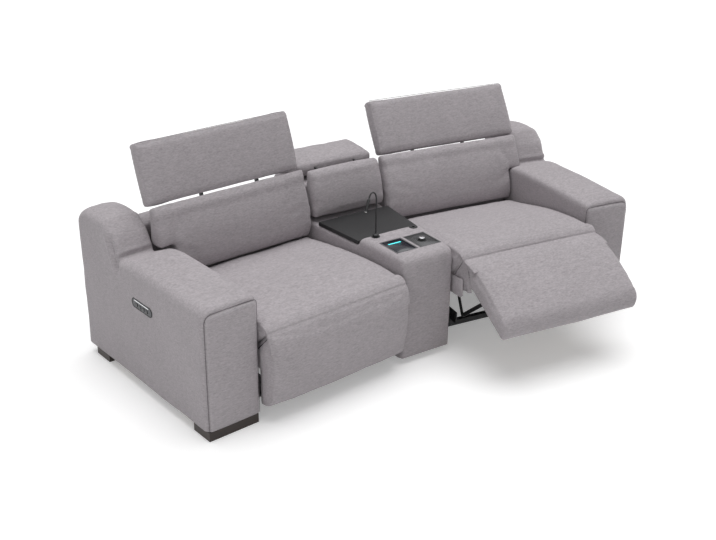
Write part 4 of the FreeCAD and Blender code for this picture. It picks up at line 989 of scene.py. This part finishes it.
# Console: a wedge-shaped block between the seats, padded and covered in the seats' fabric over
# a plywood box. Its front end carries two square inserts and two round sockets, and a black
# lid behind them closes the storage box.
def console_half(y):
    lean = math.radians(FAN)
    return UNIT_START + y * math.tan(lean) - 4 / math.cos(lean)


def drill(piece, cutters):
    """Cut openings through a piece with plain forms, which go afterwards."""
    for cutter in cutters:
        opening = piece.modifiers.new("opening", "BOOLEAN")
        opening.operation = "DIFFERENCE"
        opening.solver = "EXACT"
        opening.object = cutter
    settle(piece)
    for cutter in cutters:
        bpy.data.objects.remove(cutter)


def block_form(name, low, high):
    (x0, y0, z0), (x1, y1, z1) = low, high
    corners = [Vector(spot) for spot in ((x0, y0, z0), (x1, y0, z0), (x1, y1, z0), (x0, y1, z0))]
    raised = [Vector((spot.x, spot.y, z1)) for spot in corners]
    return closed_form(name, [[corners, raised]])


def round_form(name, x, y, levels, facets=40):
    """A turned form: levels are (radius, z) from the bottom up."""
    rings = [[Vector((x + radius * math.cos(2 * math.pi * turn / facets),
                      y + radius * math.sin(2 * math.pi * turn / facets), z)) for turn in range(facets)]
             for radius, z in levels]
    return closed_form(name, [rings])


front_block = []
for y, drop in ((-30, 44), (-28, 30), (-22, 16), (-12, 6), (4, 1), (60, 0), (240, 0), (268, 1), (277, 8)):
    half = console_half(y) - 0.2 * drop
    top = 521 - drop
    front_block.append(ring(1, section([
        (-half, 30, 0), (-half, top - 24, 7), (-half + 24, top, 1), (half - 24, top, 7),
        (half, top - 24, 0), (half, 30, 0)]), y, "v"))
ledges = []
for y in (270, 500, 920, 929):
    half = console_half(y) - (2 if y == 929 else 0)
    ledges.append(ring(1, section([(-half, 42, 0), (-half, 487, 0), (half, 487, 0), (half, 42, 0)]), y, "v"))
console = closed_form("console_padding", [front_block, ledges])
even_skin(console, 8, 4)
ripple(console, 1.6, 140, 71)
cutters = [block_form("storage_cut", (-116, 300, 430), (116, 548, 540)),
           block_form("bay_cut", (-105, 8, 60), (105, 280, 470)),
           block_form("box_cut", (-136, 282, 150), (136, 566, 470))]
for x in (-63.5, 63.5):
    cutters.append(block_form("insert_cut", (x - 58, 44, 497), (x + 58, 180, 560)))
for x in (-92, 118):
    cutters.append(round_form("dock_cut", x, 250, ((17, 490), (17, 560))))
drill(console, cutters)
upholster(console, ROOM, "frame", ["console_cover"], grey_fabric)

raw_plywood = wood("raw_plywood", (3, 3, 40), 5, 5, (0.36, 0.24, 0.13), (0.56, 0.41, 0.25), 0.7)
for node in ("console_carcass", "arm_frames", "footrest_board_left", "footrest_board_right"):
    finish_node(node, raw_plywood)

lid_leather = hard("lid_leather", (0.006, 0.006, 0.007), (0.014, 0.014, 0.015), 0.0, (0.42, 0.6), 420, 0.5)
finish_node("console_lid", lid_leather)
finish_node("accessory_docks", black_plastic)

# Inserts: a dark glass touch panel with one lit bar, in a grey rim, and a dial panel with turned
# rings round a bright knob.
lit_bar, tree, shader = new_material("lit_bar")
set_inputs(shader, {"Base Color": (0.02, 0.3, 0.32, 1), "Emission Color": (0.1, 0.85, 0.9, 1),
                    "Emission Strength": 1.1})
rim_grey = hard("insert_rim", (0.10, 0.10, 0.105), (0.16, 0.16, 0.165), 0.7, (0.3, 0.45))
dial_grey = hard("dial_grey", (0.045, 0.045, 0.047), (0.075, 0.075, 0.078), 0.5, (0.3, 0.45))
finish_node("touch_panel", rim_grey)
finish_node("dial_panel", rim_grey)


def rounded_plate(name, x0, y0, x1, y1, z0, z1, corner=3, edge=0.5):
    def outline(inset, z):
        spots = []
        for cx, cy, first in ((x1 - corner, y1 - corner, 0), (x0 + corner, y1 - corner, 90),
                              (x0 + corner, y0 + corner, 180), (x1 - corner, y0 + corner, 270)):
            for step in range(5):
                angle = math.radians(first + 22.5 * step)
                reach = corner - inset
                spots.append(Vector((cx + reach * math.cos(angle), cy + reach * math.sin(angle), z)))
        return spots

    return closed_form(name, [[outline(0, z0), outline(0, z1 - edge), outline(edge, z1)]])


for form, material in (
        (rounded_plate("touch_glass", -113, 51, -14, 173, 520.2, 521.4), gloss_black),
        (rounded_plate("touch_bar", -98, 140, -30, 148, 521.2, 521.7, 2, 0.2), lit_bar),
        (rounded_plate("dial_plate", 14, 51, 113, 173, 520.2, 521.2), dial_grey)):
    fitted(form, ROOM, material, "frame")
DIAL_X, DIAL_Y, RING_FACETS = 63.5, 112, 64
for number, radius in enumerate((44, 36, 29)):
    form = bmesh.new()
    rows = []
    for r, z in ((radius - 1.6, 521), (radius, 521.9), (radius + 1.6, 521)):
        angles = [2 * math.pi * turn / RING_FACETS for turn in range(RING_FACETS)]
        rows.append([form.verts.new((DIAL_X + r * math.cos(angle), DIAL_Y + r * math.sin(angle), z))
                     for angle in angles])
    for row, following in zip(rows, rows[1:] + rows[:1]):
        for turn in range(RING_FACETS):
            beside = (turn + 1) % RING_FACETS
            form.faces.new((row[turn], row[beside], following[beside], following[turn]))
    fitted(finished(form, f"dial_ring_{number + 1}"), ROOM, rim_grey, "frame")
finish_node("dial_knob", dial_grey)
cap = round_form("knob_cap", DIAL_X, DIAL_Y, ((13, 530), (13, 532.4), (11.6, 533.2), (4, 533.4)), 48)
fitted(cap, ROOM, bright_metal, "knob")

# Reading lamp: a slim tube on a round plug, bent over at the top, with a small round head. It
# stands in the left socket of the console and turns in it.
LAMP_X, LAMP_Y = -92, 250
curve = bpy.data.curves.new("lamp_neck", "CURVE")
curve.dimensions = "3D"
curve.bevel_depth = 0.0036
curve.bevel_resolution = 4
curve.resolution_u = 10
curve.use_fill_caps = True
line = curve.splines.new("NURBS")
route = [(LAMP_X, 530), (LAMP_X, 620), (-91, 690), (-93, 716), (-100, 731), (-111, 738), (-122, 734),
         (-130, 720), (-134, 704)]
line.points.add(len(route) - 1)
for point, (x, z) in zip(line.points, route):
    point.co = (*(ROOM @ Vector((x, LAMP_Y, z))), 1)
line.order_u = 3
line.use_endpoint_u = True
neck = curve_piece("lamp_neck", curve)
neck.data.materials.clear()
neck.data.materials.append(black_plastic)
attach(neck, "lamp")
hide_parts("reading_lamp")
base = round_form("lamp_base", LAMP_X, LAMP_Y, (
    (12.5, 524), (14, 525), (14, 531), (12, 534), (6, 536), (3.4, 538), (3.4, 545)))
fitted(base, ROOM, black_plastic, "lamp")
looks = Vector((-0.28, 0, -1)).normalized().to_track_quat("Z", "Y").to_matrix().to_4x4()
head_turn = Matrix.Translation((-133, LAMP_Y, 708)) @ looks
lamp_head = round_form("lamp_head", 0, 0, ((3, -4), (6.4, 0), (7, 3), (7, 52), (6.6, 55), (5.6, 55.5)))
lens_white = hard("lens_white", (0.75, 0.75, 0.74), (0.85, 0.85, 0.84), 0, (0.2, 0.3))
lens = round_form("lamp_lens", 0, 0, ((6, 54.5), (6, 57.5), (5, 59)))
for piece, material in ((lamp_head, black_plastic), (lens, lens_white)):
    piece.data.transform(head_turn)
    fitted(piece, ROOM, material, "lamp")

# Centre back: a narrow back cushion over the console, a fixed padded block behind it and a
# headrest that lies folded back on the block.
def center_profile(inset):
    return [
        (604 + 0.4 * inset, 508, 6), (588 + inset, 562, 6), (622 + inset, 694 - 0.5 * inset, 6),
        (655 + 0.4 * inset, 737 - inset, 3), (684, 733 - inset, 0), (684, 508, 0)]


center = soft_block("center_cushion", 1, -203, 406, 8, 14, center_profile)
cushion_skin(center, 0.005)
ripple(center, 2.0, 140, 81)
upholster(center, ROOM, "frame", ["center_back_cushion"], grey_fabric)
block_rings = []
for y, drop in ((686, 12), (692, 4), (704, 0), (900, 0), (918, 4), (927, 16)):
    half = console_half(y) - 2 - 0.3 * drop
    block_rings.append(ring(1, section([
        (-half, 489, 0), (-half, 634 - drop, 5), (-half + 16, 650 - drop, 2), (half - 16, 650 - drop, 5),
        (half, 634 - drop, 0), (half, 489, 0)]), y, "v"))
block = closed_form("center_block", [block_rings])
even_skin(block, 10, 3)
ripple(block, 1.8, 150, 85)
upholster(block, ROOM, "frame", ["center_back_block"], grey_fabric)
folded_profile = head_profile(733, 731, 86.3, 220, HEAD_THICK)
center_head = soft_block("center_headrest", 1, -214, 428, 6, 9, folded_profile, 7, 3, 3)
cushion_skin(center_head, 0.004)
ripple(center_head, 2.0, 150, 91)
upholster(center_head, ROOM, "center_headrest", ["center_headrest_pad"], grey_fabric)

# Mechanism: pressed and welded steel under the seats, painted satin black, with elastic straps
# and a plastic-cased motor.
black_steel = hard("black_steel", (0.012, 0.012, 0.013), (0.03, 0.03, 0.032), 0.3, (0.35, 0.55), 500, 0.1)
strap_fabric = fabric("strap_webbing", (0.10, 0.095, 0.085), (0.2, 0.19, 0.17), 500, 0.4, 0.1)
for side, tag in SIDES:
    for node in ("slide_frame", "seat_frame", "footrest_crank", "footrest_couplers", "back_frame",
                 "headrest_bracket"):
        finish_node(f"{node}_{tag}", black_steel)
    finish_node(f"seat_webbing_{tag}", strap_fabric)
    for node in ("recline_motor", "motor_shuttle"):
        finish_node(f"{node}_{tag}", black_plastic)
for node in ("base_rails", "console_hinge_posts", "center_headrest_bracket"):
    finish_node(node, black_steel)

low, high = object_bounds()
